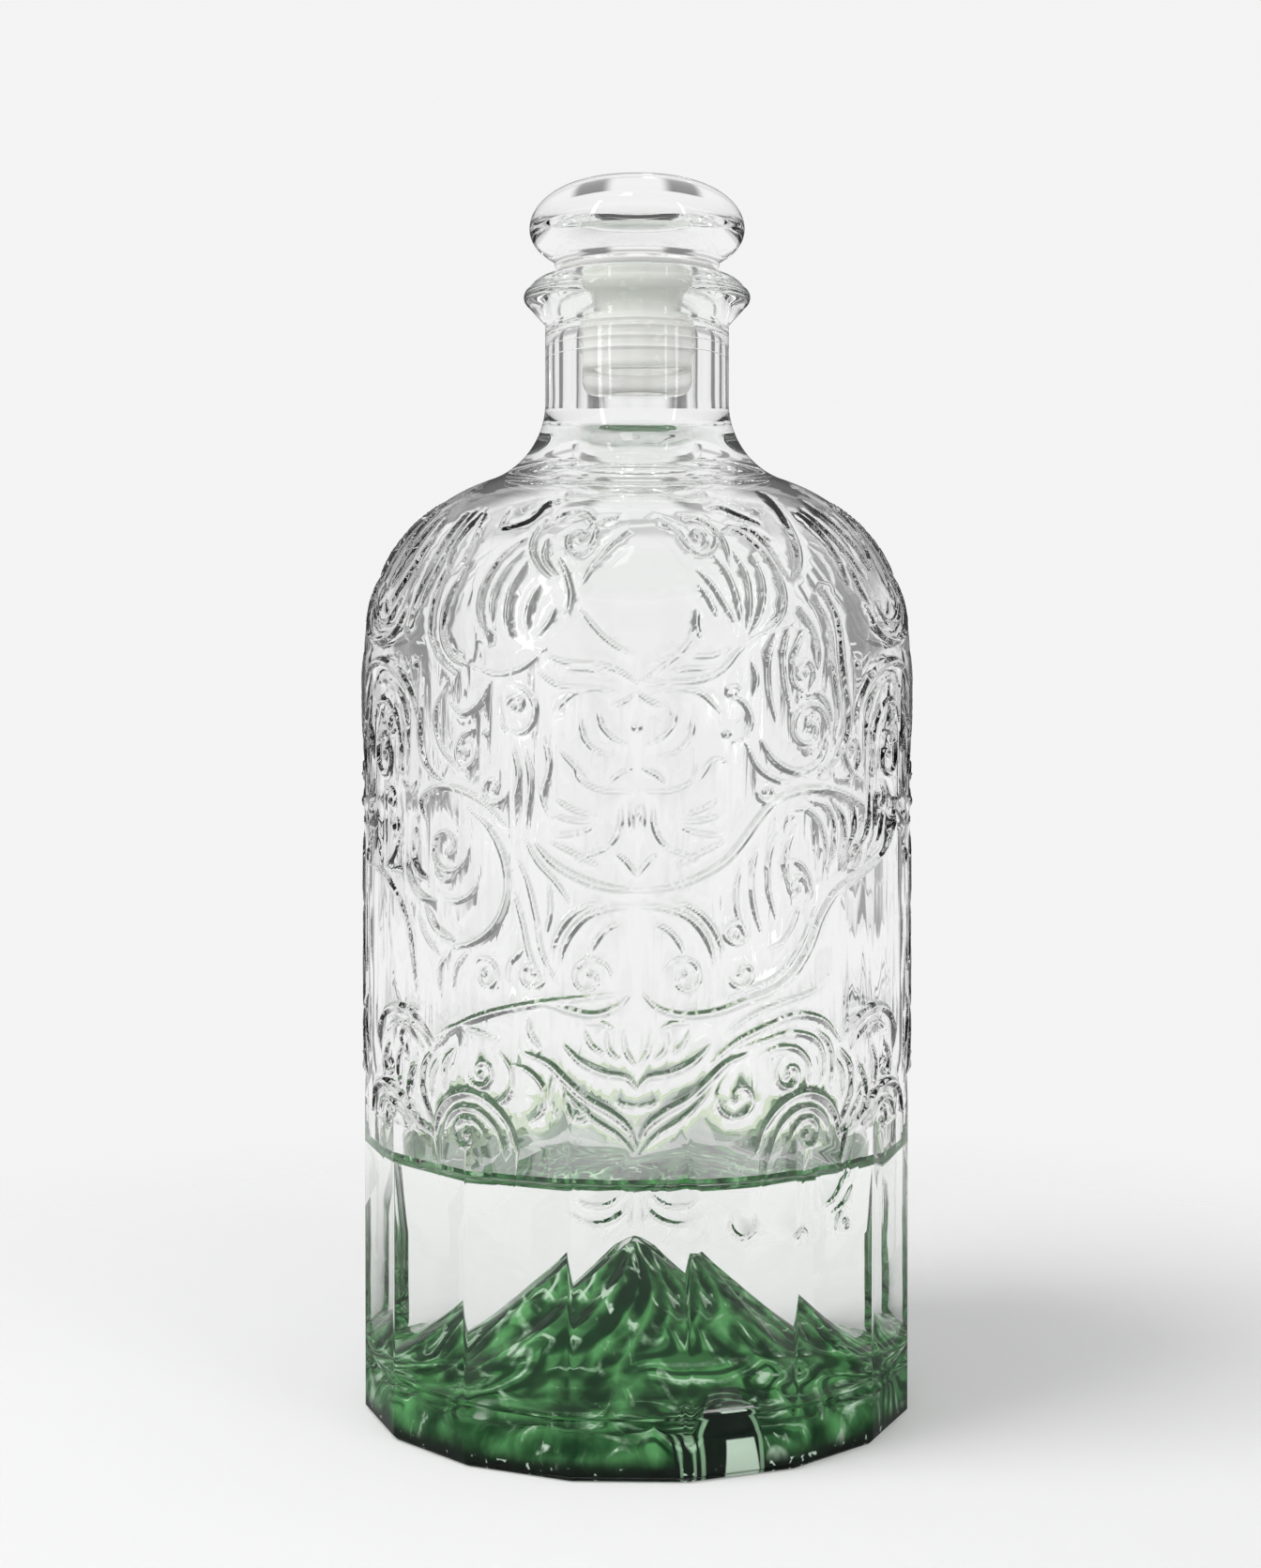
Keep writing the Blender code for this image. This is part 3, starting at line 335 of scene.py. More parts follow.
        [(14.4, 112), (13.4, 107.4), (14.4, 102.4), (13, 99)],
        [(11.8, 109.6), (9.6, 107.4), (7.4, 105)],
        [(25.4, 91), (26.4, 88.2), (29.6, 86.4), (33, 86.6)],
        [(38.8, 84.4), (37, 81), (33.6, 77.8)],
        [(29.8, 91.4), (31.4, 89.6), (33.8, 90.2), (34.4, 92.6)],
        [(43.4, 104.8), (41, 103), (38.6, 104.8)],
        [(43.6, 96.4), (45.6, 92.8), (49.4, 90.6)],
        [(12, 74.4), (14.6, 79.4), (15.6, 85), (17.2, 90.6), (19, 94)],
        [(14.4, 74.6), (16.6, 79), (17.8, 84), (19.4, 89)],
        [(10, 86.6), (12.4, 90), (15, 92.6), (17.6, 96.6)],
        [(13.6, 90), (13.2, 86), (14, 82)],
        [(17.4, 80), (20, 77.4), (20.4, 74)],
        [(27.4, 79), (29.8, 76.4), (30.6, 73)],
        [(31.8, 78.2), (33.6, 75.6), (33.4, 72.6)],
        [(41.4, 61.4), (43.8, 64.4), (42, 66.6), (38.6, 66.4)],
        [(34.6, 65.2), (30, 67.2), (25, 66.6), (21.4, 65.4)],
        [(12.6, 61.8), (13.2, 58), (12.6, 54.6)],
        [(10.6, 60), (10.8, 56.8), (9.6, 54)],
        [(20.4, 62.4), (16.8, 61.4), (14.4, 58.8), (14.6, 55.4), (17, 53.6)],
        [(30, 64), (32.6, 61.2), (32.4, 57.6)],
        [(22, 64.4), (19.6, 61), (20.2, 57.6), (22.6, 55.8)],
    ],
    "curlsBoth": [
        (7.2, 75.7, 3.6, 1.28, 200, -1),
        (48.6, 108, 4.4, 1.2, 120, -1, 0.85),
        (16.4, 76.2, 2.7, 1.04, 160, 1),
        (28.2, 50.6, 3.4, 1.12, 180, -1),
        (58.4, 92, 2.6, 1.04, 90, 1),
        (56.6, 110, 2.6, 1.04, 30, 1),
        (48, 50.4, 2.6, 0.96, 180, -1),
        (62.6, 134.6, 2.6, 0.96, 220, 1),
        (47.4, 59.6, 2.4, 1.04, 90, -1),
        (66.6, 104.6, 2.2, 0.96, 0, 1),
        (66.4, 58.6, 2.4, 0.96, 180, 1),
    ],
    "curlsRight": [
        (28, 112.6, 4.6, 1.28, 330, 1, 0.7),
        (26.9, 121.2, 2.6, 1.12, 300, 1),
        (10.4, 141.6, 2.4, 0.96, 200, 1),
        (37.6, 93.4, 2.6, 1.04, 250, 1, 0.65),
        (20.4, 103.2, 1.8, 0.96, 150, 1),
        (37.2, 109.4, 2.2, 0.96, 40, 1),
        (24.6, 60.4, 3, 1.28, 90, 1),
        (15.8, 57.4, 4, 1.2, 120, 1),
        (25.6, 88.6, 2.4, 0.96, 330, 1),
        (14.8, 82, 2.2, 0.96, 0, 1),
        (45.4, 101.4, 2.4, 0.96, 90, -1),
        (36.8, 35.8, 2.6, 1.04, 60, 1),
        (26.4, 35.6, 2.4, 0.88, 200, 1),
        (14.6, 118.2, 1.4, 0.8, 0, 1),
    ],
    "curlsLeft": [
        (10.2, 141.4, 3.9, 1.28, 40, 1, 0.7),
        (28.4, 108.6, 2.8, 1.12, 90, 1),
        (22.8, 103.8, 2.6, 1.12, 180, 1),
        (18.8, 116.2, 1.8, 0.88, 0, 1),
        (31.8, 94.6, 4.4, 1.2, 180, 1, 0.75),
        (46.6, 113.4, 2.4, 0.96, 90, 1),
        (24.2, 75.4, 3, 1.12, 30, 1),
        (25, 60.8, 2.8, 1.2, 0, -1, 0.65),
        (8.8, 55.2, 1.6, 0.88, 90, 1),
        (46.8, 101.2, 2.4, 0.96, 0, 1),
        (45.4, 97, 1.6, 0.8, 90, 1),
    ],
    "domesBoth": [(67.2, 100, 1.9), (67.2, 56.4, 1.9), (39.2, 122.4, 0.9), (0, 100.6, 1.1), (0, 113, 1)],
    "domesRight": [(13.7, 112, 1)],
    "domesLeft": [(24.2, 112, 0.8), (23.6, 98, 0.7)],
}


def smoothLine(points, step=0.3):      # a cubic through the points, its slope at each from its neighbours
    p = np.array(points, float)
    chord = np.r_[0, np.cumsum(np.hypot(*np.diff(p, axis=0).T))]
    slope = np.gradient(p, chord, axis=0)
    u = np.linspace(0, chord[-1], int(chord[-1] / step) + 2)
    k = np.clip(np.searchsorted(chord, u, "right") - 1, 0, len(p) - 2)
    h = (chord[k + 1] - chord[k])[:, None]
    t = (u - chord[k])[:, None] / h
    line = (2 * t**3 - 3 * t**2 + 1) * p[k] + (t**3 - 2 * t**2 + t) * h * slope[k]
    return line + (3 * t**2 - 2 * t**3) * p[k + 1] + (t**3 - t**2) * h * slope[k + 1]


def taper(count):                      # 0.4 at both ends of a line, 1 over its middle
    share = np.linspace(0, 1, count)
    return 0.4 + 0.6 * np.clip(np.minimum(share, 1 - share) / 0.3, 0, 1) ** 0.7


def ridgeHeight(width):                # in proportion to the width, so that all flanks are equally steep
    return ornament["height"] * np.minimum(1, width / ornament["fullWidth"])


def ridge(points, halfWidth):          # s, z, half width and height of each point of a tapering ridge
    line = smoothLine(points)
    width = halfWidth * taper(len(line))
    return np.column_stack([line, width, ridgeHeight(width)])


def fineLine(*points):                 # a ridge of the least width
    return ridge(points, ornament["least"])


def curl(s, z, radius, turns, start, hand, halfWidth=ornament["least"]):       # a spiral winding in to a bead
    share = np.linspace(0, 1, int(radius * turns * 16) + 8)
    angle = np.radians(start) + hand * 2 * np.pi * turns * share
    reach = radius * (1 - 0.8 * share)
    width = halfWidth * (0.4 + 0.6 * np.clip(share * 5, 0, 1)) * (1 - 0.25 * share)
    width[-1] = halfWidth * 1.3
    return np.column_stack([s + reach * np.cos(angle), z + reach * np.sin(angle), width, ridgeHeight(width)])


def dome(s, z, radius):                # a stroke of one point
    return np.array([[s, z, radius, ornament["height"]]])


def mirrored(stroke):
    return stroke * np.array([-1, 1, 1, 1])


def ornamentStrokes():
    strokes = []
    for make, kind in ((ridge, "ridges"), (fineLine, "lines"), (curl, "curls"), (dome, "domes")):
        sides = [ornament[kind + side] for side in ("Both", "Right", "Left")]
        both, right, left = ([make(*item) for item in side] for side in sides)
        strokes += both + right + [mirrored(item) for item in both + left]
    return strokes


def reliefField(azimuth, along, radius, alongOf):
    # height over the ground: the highest of the ridges near each point, each a raised cosine across its width
    field = np.zeros((len(along), len(azimuth)))
    columnStep, rowStep = azimuth[1] - azimuth[0], along[1] - along[0]
    stretch = 14           # points of a stroke that are laid down at a time
    fromFront = np.abs((azimuth + np.pi) % (2 * np.pi) - np.pi)
    backFrom, backFull = np.radians((ornament["backFrom"], ornament["backFull"]))
    behind = np.clip((fromFront - backFrom) / (backFull - backFrom), 0, 1)
    beside = np.clip(fromFront / np.radians(ornament["middleWidth"]), 0, 1)
    middle = ornament["middle"] + (1 - ornament["middle"]) * beside ** 2
    for stroke in ornamentStrokes():
        for first in range(0, len(stroke), stretch):
            part = stroke[first:first + stretch + 1]
            reach = part[:, 2].max()
            t = alongOf(part[:, 1])
            rows = np.arange(max(0, int((t.min() - reach - along[0]) / rowStep)),
                             min(len(along), int((t.max() + reach - along[0]) / rowStep) + 2))
            if not len(rows):
                continue
            a = part[:, 0] / unrollRadius
            spread = reach / radius[rows].min()
            leftmost = (a.min() - spread - azimuth[0]) / columnStep
            rightmost = (a.max() + spread - azimuth[0]) / columnStep
            columns = np.arange(int(np.floor(leftmost)), int(np.ceil(rightmost)) + 1)
            across = (azimuth[0] + columns * columnStep)[None, :, None] - a
            up = along[rows][:, None, None] - t
            distance = np.hypot(across * radius[rows][:, None, None], up) / part[:, 2]
            bump = part[:, 3] * np.cos(np.pi / 2 * np.clip(distance, 0, 1)) ** 2
            for turn in (0, len(azimuth) // 2):       # the back has the same ornament as the front
                wrapped = (columns + turn) % len(azimuth)
                patch = field[np.ix_(rows, wrapped)]
                back = ornament["backMain" if reach > ornament["mainWidth"] else "backFine"]
                lowered = 1 - (1 - back) * behind[wrapped]
                field[np.ix_(rows, wrapped)] = np.maximum(patch, bump.max(axis=2) * lowered * middle[wrapped])
    return field


def polygonShare(azimuth):             # the foot's outline: distance from the axis as a share of a corner's
    half = np.pi / body["footSides"]
    within = (azimuth - body["firstCorner"]) % (2 * half) - half
    return np.minimum(body["blunt"], np.cos(half) / np.cos(within))


def mountain(radius, azimuth):         # height of the punt: a concave cone with winding spurs and gullies
    share = radius / floorRadius
    cone = np.maximum(0, 1 - np.hypot(share, floorForm["tip"] * (1 - share))) ** floorForm["power"]
    winding = azimuth + floorForm["twist"] * share
    spurs = floorForm["spurDepth"] * np.cos(floorForm["spurs"] * winding)
    gullies = floorForm["gullyDepth"] * np.cos(floorForm["gullies"] * winding + 1.0)
    strength = np.minimum(1, 3 * share)
    rise = floorForm["peak"] - floorForm["edge"]
    return floorForm["edge"] + rise * cone * (1 + strength * (spurs + gullies))


summit = float(mountain(0.0, 0.0))


# Arched portal at the mountain's foot
portal = {
    "azimuth": np.radians(20.0),
    "width": 10.0,
    "height": 10.0,
    "end": puntRadius - 2.4,
    "fall": 0.35,             # the roof falls by this share of the distance behind its front
}


def portalRoof(radius, azimuth, grow):         # height of the arched tunnel's roof, minus infinity beside it
    turned = azimuth - portal["azimuth"]
    side = radius * np.sin(turned)
    forward = radius * np.cos(turned)
    half = portal["width"] / 2 + grow
    inside = (np.abs(side) < half) & (forward > 0) & (forward < portal["end"] + grow)
    roof = portal["height"] - portal["width"] / 2 + np.sqrt(np.maximum(0, half**2 - side**2))
    roof = roof - portal["fall"] * np.maximum(0, floorRadius - forward)
    return np.where(inside, roof, -np.inf)


def floorHeight(radius, azimuth, lift):        # the mountain with the portal's cover, raised by lift
    return np.maximum(mountain(radius, azimuth) + lift, portalRoof(radius, azimuth, lift))


def groundShoulder():                  # the plain surface from the start of the shoulder up into the neck
    groundRadius = body["radius"] - body["ground"]
    return shoulder(groundRadius, body["shoulderRadius"], body["neckRadius"], body["neckFillet"], 60)


def ornamentedWall():
    # the ground profile plus the relief along its normal; the lower part blends into the foot's facets
    azimuth = azimuths(body["columns"])
    plain = groundShoulder()
    plain = np.concatenate([[[plain[0, 0], body["ornamentFrom"]]], plain])
    line, along = evenly(plain, body["rowStep"])
    keep = line[:, 1] < body["ornamentTo"]
    line, along = line[keep], along[keep]
    radius, z = line.T
    field = reliefField(azimuth, along, radius, lambda height: np.interp(height, z, along))
    tangent = np.gradient(line, along, axis=0)
    normalR, normalZ = tangent[:, 1], -tangent[:, 0]
    share = np.clip((z - body["footTop"]) / body["footBlend"], 0, 1)
    share = share * share * (3 - 2 * share)
    flat = body["footCorner"] * polygonShare(azimuth)
    base = radius[:, None] * share[:, None] + flat[None, :] * (1 - share[:, None])
    fade = np.clip((z - body["ornamentFrom"] - 1) / 2, 0, 1)[:, None]
    r = base + field * fade * normalR[:, None]
    points = turnPoints(r, azimuth, z[:, None] + field * fade * normalZ[:, None])
    around = np.roll(points, -1, axis=1) - np.roll(points, 1, axis=1)
    normals = np.cross(around, np.gradient(points, axis=0))
    normals /= np.linalg.norm(normals, axis=2, keepdims=True)
    return points, normals, z[-1], along


def bridge(faces, lower, upper):
    # quads between two rings of equal length, or triangles where one has several times the other's points
    a = lower[1] + np.arange(lower[0] + 1) % lower[0]
    b = upper[1] + np.arange(upper[0] + 1) % upper[0]
    if lower[0] == upper[0]:
        faces += [np.column_stack([a[:-1], a[1:], b[1:]]), np.column_stack([a[:-1], b[1:], b[:-1]])]
        return
    flip = lower[0] < upper[0]
    fine, coarse = (b, a) if flip else (a, b)
    n = (len(fine) - 1) // (len(coarse) - 1)
    made = []
    for k in range(n):
        corner = coarse[:-1] if k < n // 2 else coarse[1:]
        made.append(np.column_stack([fine[k:-1:n], fine[k + 1::n], corner]))
    made.append(np.column_stack([coarse[:-1], fine[n // 2:-1:n], coarse[1:]]))
    faces += [m[:, ::-1] for m in made] if flip else made


def closedSkin(name, firstPole, rings, lastPole):
    # rings run from one pole to the other, outer side to the right of the way they run; poles are fans
    vertices, faces, layout, start = [np.array([firstPole])], [], [], 1
    for ring in rings:
        layout.append((len(ring), start))
        vertices.append(ring)
        start += len(ring)
    vertices.append(np.array([lastPole]))
    for lower, upper in zip(layout, layout[1:]):
        bridge(faces, lower, upper)
    for pole, (count, first), turn in ((0, layout[0], -1), (start, layout[-1], 1)):
        ring = first + np.arange(count)
        pair = [ring, np.roll(ring, -1)][::turn]
        faces.append(np.column_stack([np.full(count, pole), *pair]))
    return toMesh(name, np.concatenate(vertices), np.concatenate(faces))


def toMesh(name, vertices, faces):     # triangles from arrays, in metres
    mesh = bpy.data.meshes.new(name)
    mesh.vertices.add(len(vertices))
    mesh.vertices.foreach_set("co", (vertices / perMetre).astype(np.float32).ravel())
    mesh.loops.add(faces.size)
    mesh.loops.foreach_set("vertex_index", faces.astype(np.int32).ravel())
    mesh.polygons.add(len(faces))
    mesh.polygons.foreach_set("loop_start", np.arange(0, faces.size, 3, dtype=np.int32))
    mesh.update(calc_edges=True)
    mesh.validate()
    mesh.shade_smooth()
    piece = bpy.data.objects.new(name, mesh)
    bpy.context.scene.collection.objects.link(piece)
    return piece


def meshRows(items, field):            # three numbers of each vertex or face, as rows
    values = np.empty(len(items) * 3, np.float32)
    items.foreach_get(field, values)
    return values.reshape(-1, 3)


def paintPoints(mesh, name, values):   # a number at each vertex, for a material to read
    layer = mesh.attributes.new(name, "FLOAT", "POINT")
    layer.data.foreach_set("value", np.ravel(values).astype(np.float32))


def report(piece):
    print(piece.name, len(piece.data.polygons), "triangles")


def ringsOf(profile, columns):         # turned rings, one for each (r, z)
    return [turnPoints(r, azimuths(columns), z) for r, z in profile]


def floorRings(columns, lift, count):          # from the mountain's foot in to just short of its peak
    azimuth = azimuths(columns)
    radii = floorRadius * (1 - np.arange(count) / count)
    return [turnPoints(r, azimuth, floorHeight(r, azimuth, lift)) for r in radii]


liquid = {"level": 42.5, "climb": 2.6, "climbWidth": 2.6, "gap": 0.02, "columns": 192}


def heelRings(azimuth, corner):        # the ring that the bottle stands on, with notches, and the foot's side
    outside = corner - body["heelChamfer"]
    column = np.arange(len(azimuth)) % body["notchColumns"]
    comb = np.cos(np.pi * column / body["notchColumns"]) ** body["notchPower"]
    rings = []
    for share in body["notchShares"]:
        notch = body["notchDepth"] * np.sin(np.pi * share) * comb
        rings.append(turnPoints(puntRadius + (outside - puntRadius) * share, azimuth, notch))
    rings.append(turnPoints(outside, azimuth, 0.0))
    return rings + [turnPoints(corner, azimuth, z)
                    for z in np.linspace(body["heelChamfer"], body["ornamentFrom"], 4)[:-1]]


def neckAndLip(ornamentEnd):           # (r, z) from the end of the ornament up the neck and over the lip
    top, neck, bore = body["lipTop"], body["neckRadius"], body["boreRadius"]
    edge, rounding = body["lipEdge"], body["mouthRounding"]
    rest = groundShoulder()
    rest = rest[rest[:, 1] > ornamentEnd + 0.5]
    heights = np.linspace(ornamentEnd + 1.2, top - body["lipDepth"], 12)
    upNeck = [(neck, z) for z in heights if z > rest[-1, 1] + 0.3]
    low, high = np.radians((body["lipEdgeFrom"], body["lipEdgeTo"]))
    foot = (neck + body["lipFoot"], top - body["lipDepth"] + 0.1)
    lip = arc(body["lipRadius"] - edge, top - body["lipEdgeDrop"], edge, low, high, 12)
    bend = (body["lipTurn"], top - body["lipTurnDrop"])
    face = roundEdge(lip[-1], bend, (body["lipFace"], top), None, 7)
    mouth = arc(bore + rounding, top - rounding, rounding, np.pi / 2, np.pi, 5)
    return [*rest, *upNeck, foot, *lip, *face[1:], (bore + rounding, top), *mouth[1:]]


def boreAndCavity(wetTop):             # (r, z) from the mouth down the bore and the wall to the floor
    radius = body["boreRadius"]
    inner = shoulder(cavityRadius, body["shoulderRadius"] - body["wall"], radius, body["boreFillet"], 24)
    bore = [(radius, z) for z in np.linspace(body["lipTop"] - 1.5, inner[-1, 1] + 1, 8)]
    wallZ = np.r_[np.linspace(body["shoulderStart"] - 4, wetTop, 18), np.linspace(wetTop, 16, 8)[1:]]
    corner = arc(floorRadius, cornerZ, floorForm["corner"], 0, -np.pi / 2, 8)[:-1]
    return [*bore, *inner[::-1], *((cavityRadius, z) for z in wallZ), *corner]


def thinOut(piece, wallStart, wallRows):       # fewer triangles on the ornamented wall; the rest stays
    columns = body["columns"]
    group = piece.vertex_groups.new(name="ornament")
    group.add(list(range(wallStart + 3 * columns, wallStart + (wallRows - 3) * columns)), 1.0, "REPLACE")
    thin = piece.modifiers.new("thin", "DECIMATE")
    thin.ratio = body["faces"] / len(piece.data.polygons)
    thin.vertex_group = "ornament"
    thin.vertex_group_factor = 10
    shape = bpy.data.meshes.new_from_object(piece.evaluated_get(bpy.context.evaluated_depsgraph_get()))
    piece.modifiers.clear()
    piece.data = shape
    shape.name = piece.name


def buildBottle():
    few = body["columns"] // body["coarse"]
    azimuth = azimuths(body["columns"])
    wetTop = liquid["level"] + liquid["climb"]
    wall, wallNormals, ornamentEnd, along = ornamentedWall()
    puntWall = arc(floorRadius, 0.0, puntRadius - floorRadius, np.pi / 2, 0, 8, radiusZ=floorForm["edge"])
    below = floorRings(few, 0.0, 28)[::-1] + ringsOf(puntWall[1:], few)
    below += heelRings(azimuth, body["footCorner"] * polygonShare(azimuth))
    profile = neckAndLip(ornamentEnd) + boreAndCavity(wetTop)
    turned = ringsOf(profile, body["columns"] // body["coarseTurned"])
    rings = below + list(wall) + turned + floorRings(few, floorForm["glass"], 30)
    piece = closedSkin("bottleGlass", (0, 0, summit), rings, (0, 0, summit + floorForm["glass"]))
    thinOut(piece, 1 + sum(len(ring) for ring in below), len(wall))
    smoothOrnament(piece.data, wallNormals, along)
    piece.data.polygons.foreach_set("material_index", wetFaces(piece.data, wetTop).astype(np.int32))
    report(piece)
    return piece


def wetFaces(shape, wetTop):           # true for the faces of the cavity that the liquid touches
    x, y, z = meshRows(shape.polygons, "center").T * perMetre
    radius, azimuth = np.hypot(x, y), np.arctan2(x, -y)
    floorMiddle = floorHeight(np.minimum(radius, floorRadius), azimuth, floorForm["glass"] / 2)
    return (radius < cavityRadius + 0.1) & (z < wetTop) & (z > floorMiddle)


def smoothOrnament(shape, normals, along):
    # gives the thinned wall the normals of the full one, read between its four nearest points
    kept = meshRows(shape.vertices, "normal").astype(float)
    x, y, z = (meshRows(shape.vertices, "co") * perMetre).T
    radius, azimuth = np.hypot(x, y), np.arctan2(x, -y)
    centreR, start = body["radius"] - body["ground"] - body["shoulderRadius"], body["shoulderStart"]
    bend = np.arctan2(np.maximum(0, z - start), radius - centreR)
    onLine = np.minimum(z, start) - body["ornamentFrom"] + body["shoulderRadius"] * bend
    row = onLine / (along[1] - along[0])
    reach = np.hypot(np.maximum(0, z - start), radius - centreR)
    outer = np.where(z < start, radius > body["radius"] - ornament["skinDepth"],
                     reach > body["shoulderRadius"] - ornament["skinDepthUp"])
    inZone = outer & (row > 4) & (row < len(along) - 5) & (bend < np.radians(ornament["smoothTo"]))
    columns = normals.shape[1]
    column = ((azimuth - body["firstCorner"]) / (2 * np.pi) * columns) % columns
    row, column = row[inZone], column[inZone]
    r0, c0 = row.astype(int), column.astype(int) % columns
    c1 = (c0 + 1) % columns
    u, v = (row - r0)[:, None], (column - column.astype(int))[:, None]
    lower = normals[r0, c0] * (1 - v) + normals[r0, c1] * v
    upper = normals[r0 + 1, c0] * (1 - v) + normals[r0 + 1, c1] * v
    kept[inZone] = lower * (1 - u) + upper * u
    kept /= np.linalg.norm(kept, axis=1, keepdims=True)
    shape.normals_split_custom_set_from_vertices(kept.tolist())
    # how far each normal leans away from the plain wall's, for the painted shade: thin darker lines painted
    # along the ridges' flanks
    plain = turnPoints(np.cos(np.maximum(bend, 0)), azimuth, np.sin(np.maximum(bend, 0)))
    lean = np.degrees(np.arccos(np.clip((plain * kept).sum(axis=1), -1, 1)))
    # painted shade: the steeper the flank, the darker the glass's tint there
    steep = np.clip((lean - ornament["leanFrom"]) / (ornament["leanFull"] - ornament["leanFrom"]), 0, 1)
    paintPoints(shape, "paintedFlankShade", np.where(inZone, steep, 0))


# Green layer that lines the punt. It lies in the glass by the lap, as a lacquer that has no air behind it.
liner = {
    "thickness": 1.0, "lap": 0.55, "relief": 1.4, "foot": 0.6,
    "step": 0.65, "stepOut": 0.35,         # the step at the wall's top, where the portal's front stands
    "columns": 576, "stepRows": 8,
    "wallRows": 24, "floorRows": 96,       # on the side that shows
    "underWallRows": 8, "underRows": 24,
    "calm": 3.0, "calmEdge": 2.0,          # the rock stays smooth this far to either side of the portal
    "calmFrom": 26.0, "calmFull": 32.0,    # and from here to here outwards
}


def rockDetail(out, azimuth):
    # 0 to 1: sharp ribs that run downhill, others that swoop round the mountain, fine ripples across them.
    # Bend, sines of sines of the place, makes them all swing, and everything fades out towards the peak.
    x, y = out * np.sin(azimuth), -out * np.cos(azimuth)
    bend = 1.2 * np.sin(x / 4.1 + 1.3 * np.sin(y / 5.2)) + 0.9 * np.sin(y / 3.6 - 1.1 * np.sin(x / 6.3))
    rib = 1 - np.abs(np.sin(7.5 * azimuth + out / 7.0 + 0.9 * bend)) ** 0.7
    swoop = 1 - np.abs(np.sin((out + 2.2 * bend) / 4.2 + 2 * np.sin(2 * azimuth))) ** 0.6
    ripple = 0.5 + 0.5 * np.sin(out / 0.8 + 2.4 * np.sin(azimuth * 7 + out / 3.0) + bend)
    return np.clip(out / 13, 0, 1) ** 1.3 * np.clip(0.5 * rib + 0.4 * swoop + 0.12 * ripple, 0, 1)


def linerSkin(inset, relief, wallRows, floorRows):
    # up the wall, over the step at its top, then in to just short of the peak: the points and their relief
    azimuth = azimuths(liner["columns"])
    height, width = floorForm["edge"] - inset, puntRadius - floorRadius - inset
    start = liner["step"] + (liner["stepOut"] if relief else 0)
    angle = np.linspace(np.arcsin(liner["foot"] / height), np.arccos(start / width), wallRows)
    share = np.linspace(0, 1, liner["stepRows"] + 1)[1:]
    inward = floorRadius * (1 - np.arange(floorRows) / floorRows)
    outward = np.r_[width * np.cos(angle), start - liner["step"] * share]
    radius = np.r_[floorRadius + outward, inward][:, None]
    rise = np.r_[np.zeros(wallRows), share, np.ones(floorRows)][:, None]      # 0 on the wall, 1 on the floor
    wallZ = height * np.r_[np.sin(angle), np.full(len(share) + floorRows, np.sin(angle[-1]))][:, None]
    z = wallZ + (floorHeight(np.minimum(radius, floorRadius), azimuth, -inset) - wallZ) * rise
    leanR = np.r_[np.cos(angle), 0.7 * (1 - share), np.zeros(floorRows)][:, None]
    leanZ = np.r_[np.sin(angle), np.ones(len(share) + floorRows)][:, None]
    out = np.where(rise < 1, floorRadius + (height - z), radius)
    turned = azimuth - portal["azimuth"]
    side, forward = radius * np.sin(turned), radius * np.cos(turned)
    beside = np.abs(side) - portal["width"] / 2
    smooth = np.clip(1 - (beside - liner["calm"]) / liner["calmEdge"], 0, 1)
    smooth = smooth * np.clip((forward - liner["calmFrom"]) / (liner["calmFull"] - liner["calmFrom"]), 0, 1)
    bump = rockDetail(out, azimuth) * np.clip((z - liner["foot"]) / 1.5, 0, 1) * (1 - smooth)
    return turnPoints(radius + relief * bump * leanR, azimuth, z + relief * bump * leanZ), bump


def buildLiner():
    lap, thickness = liner["lap"], liner["thickness"]
    inner, innerBump = linerSkin(thickness, 0.0, liner["underWallRows"], liner["underRows"])
    outer, outerBump = linerSkin(-lap, liner["relief"], liner["wallRows"], liner["floorRows"])
    rings = list(inner[::-1]) + list(outer)
    piece = closedSkin("mountainLiner", (0, 0, summit - thickness), rings, (0, 0, summit + lap))
    paintPoints(piece.data, "relief", np.r_[0.0, innerBump[::-1].ravel(), outerBump.ravel(), 0.0])
    report(piece)
    return piece


def buildLiquor():
    # from the floor's peak out and up the wall, then over the surface, which climbs a little at the glass
    level, climb, width = liquid["level"], liquid["climb"], liquid["climbWidth"]
    side = cavityRadius - liquid["gap"]
    lift = floorForm["glass"] + liquid["gap"]
    bottom = floorRings(liquid["columns"], lift, 40)[::-1]
    corner = arc(floorRadius, cornerZ, floorForm["corner"] - liquid["gap"], -np.pi / 2, 0, 8)[1:]
    wall = [(side, z) for z in np.linspace(cornerZ + 2, level + climb, 12)]
    out = np.linspace(0, 1, 9)[1:]
    surface = list(zip(side - width * 2 * out, level + climb * np.exp(-4 * out)))
    surface += [(r, level + 0.02 * r / side) for r in np.linspace(side - 2 * width - 2, 3, 12)]
    rings = bottom + ringsOf([*corner, *wall, *surface], liquid["columns"])
    piece = closedSkin("liquorFill", (0, 0, summit + lift), rings, (0, 0, level))
    height = meshRows(piece.data.polygons, "center")[:, 2] * perMetre
    onTop = (height > level - 0.1) & (meshRows(piece.data.polygons, "normal")[:, 2] > 0.1)
    finish = np.select([onTop & (height > level + 0.2), onTop], [2, 0], 1)     # rim and surface, both with a painted green tint, and against glass
    piece.data.polygons.foreach_set("material_index", finish.astype(np.int32))
    report(piece)
    return piece


stopper = {
    "top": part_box("stopper_glass")[1].z * perMetre - 1.25,
    "dome": 1.2,
    "radius": 17.85,
    "upper": 8.1, "crown": 5.2,
    "lower": 6.0, "lowerCentre": 9.0,
    "foot": 13.7, "footZ": glassHigh.z * perMetre + 1.5,
    "spigotEnd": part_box("stopper_glass")[0].z * perMetre,
    "spigotRadius": 8.2, "spigotCorner": 4.0,
    "columns": 160,
}


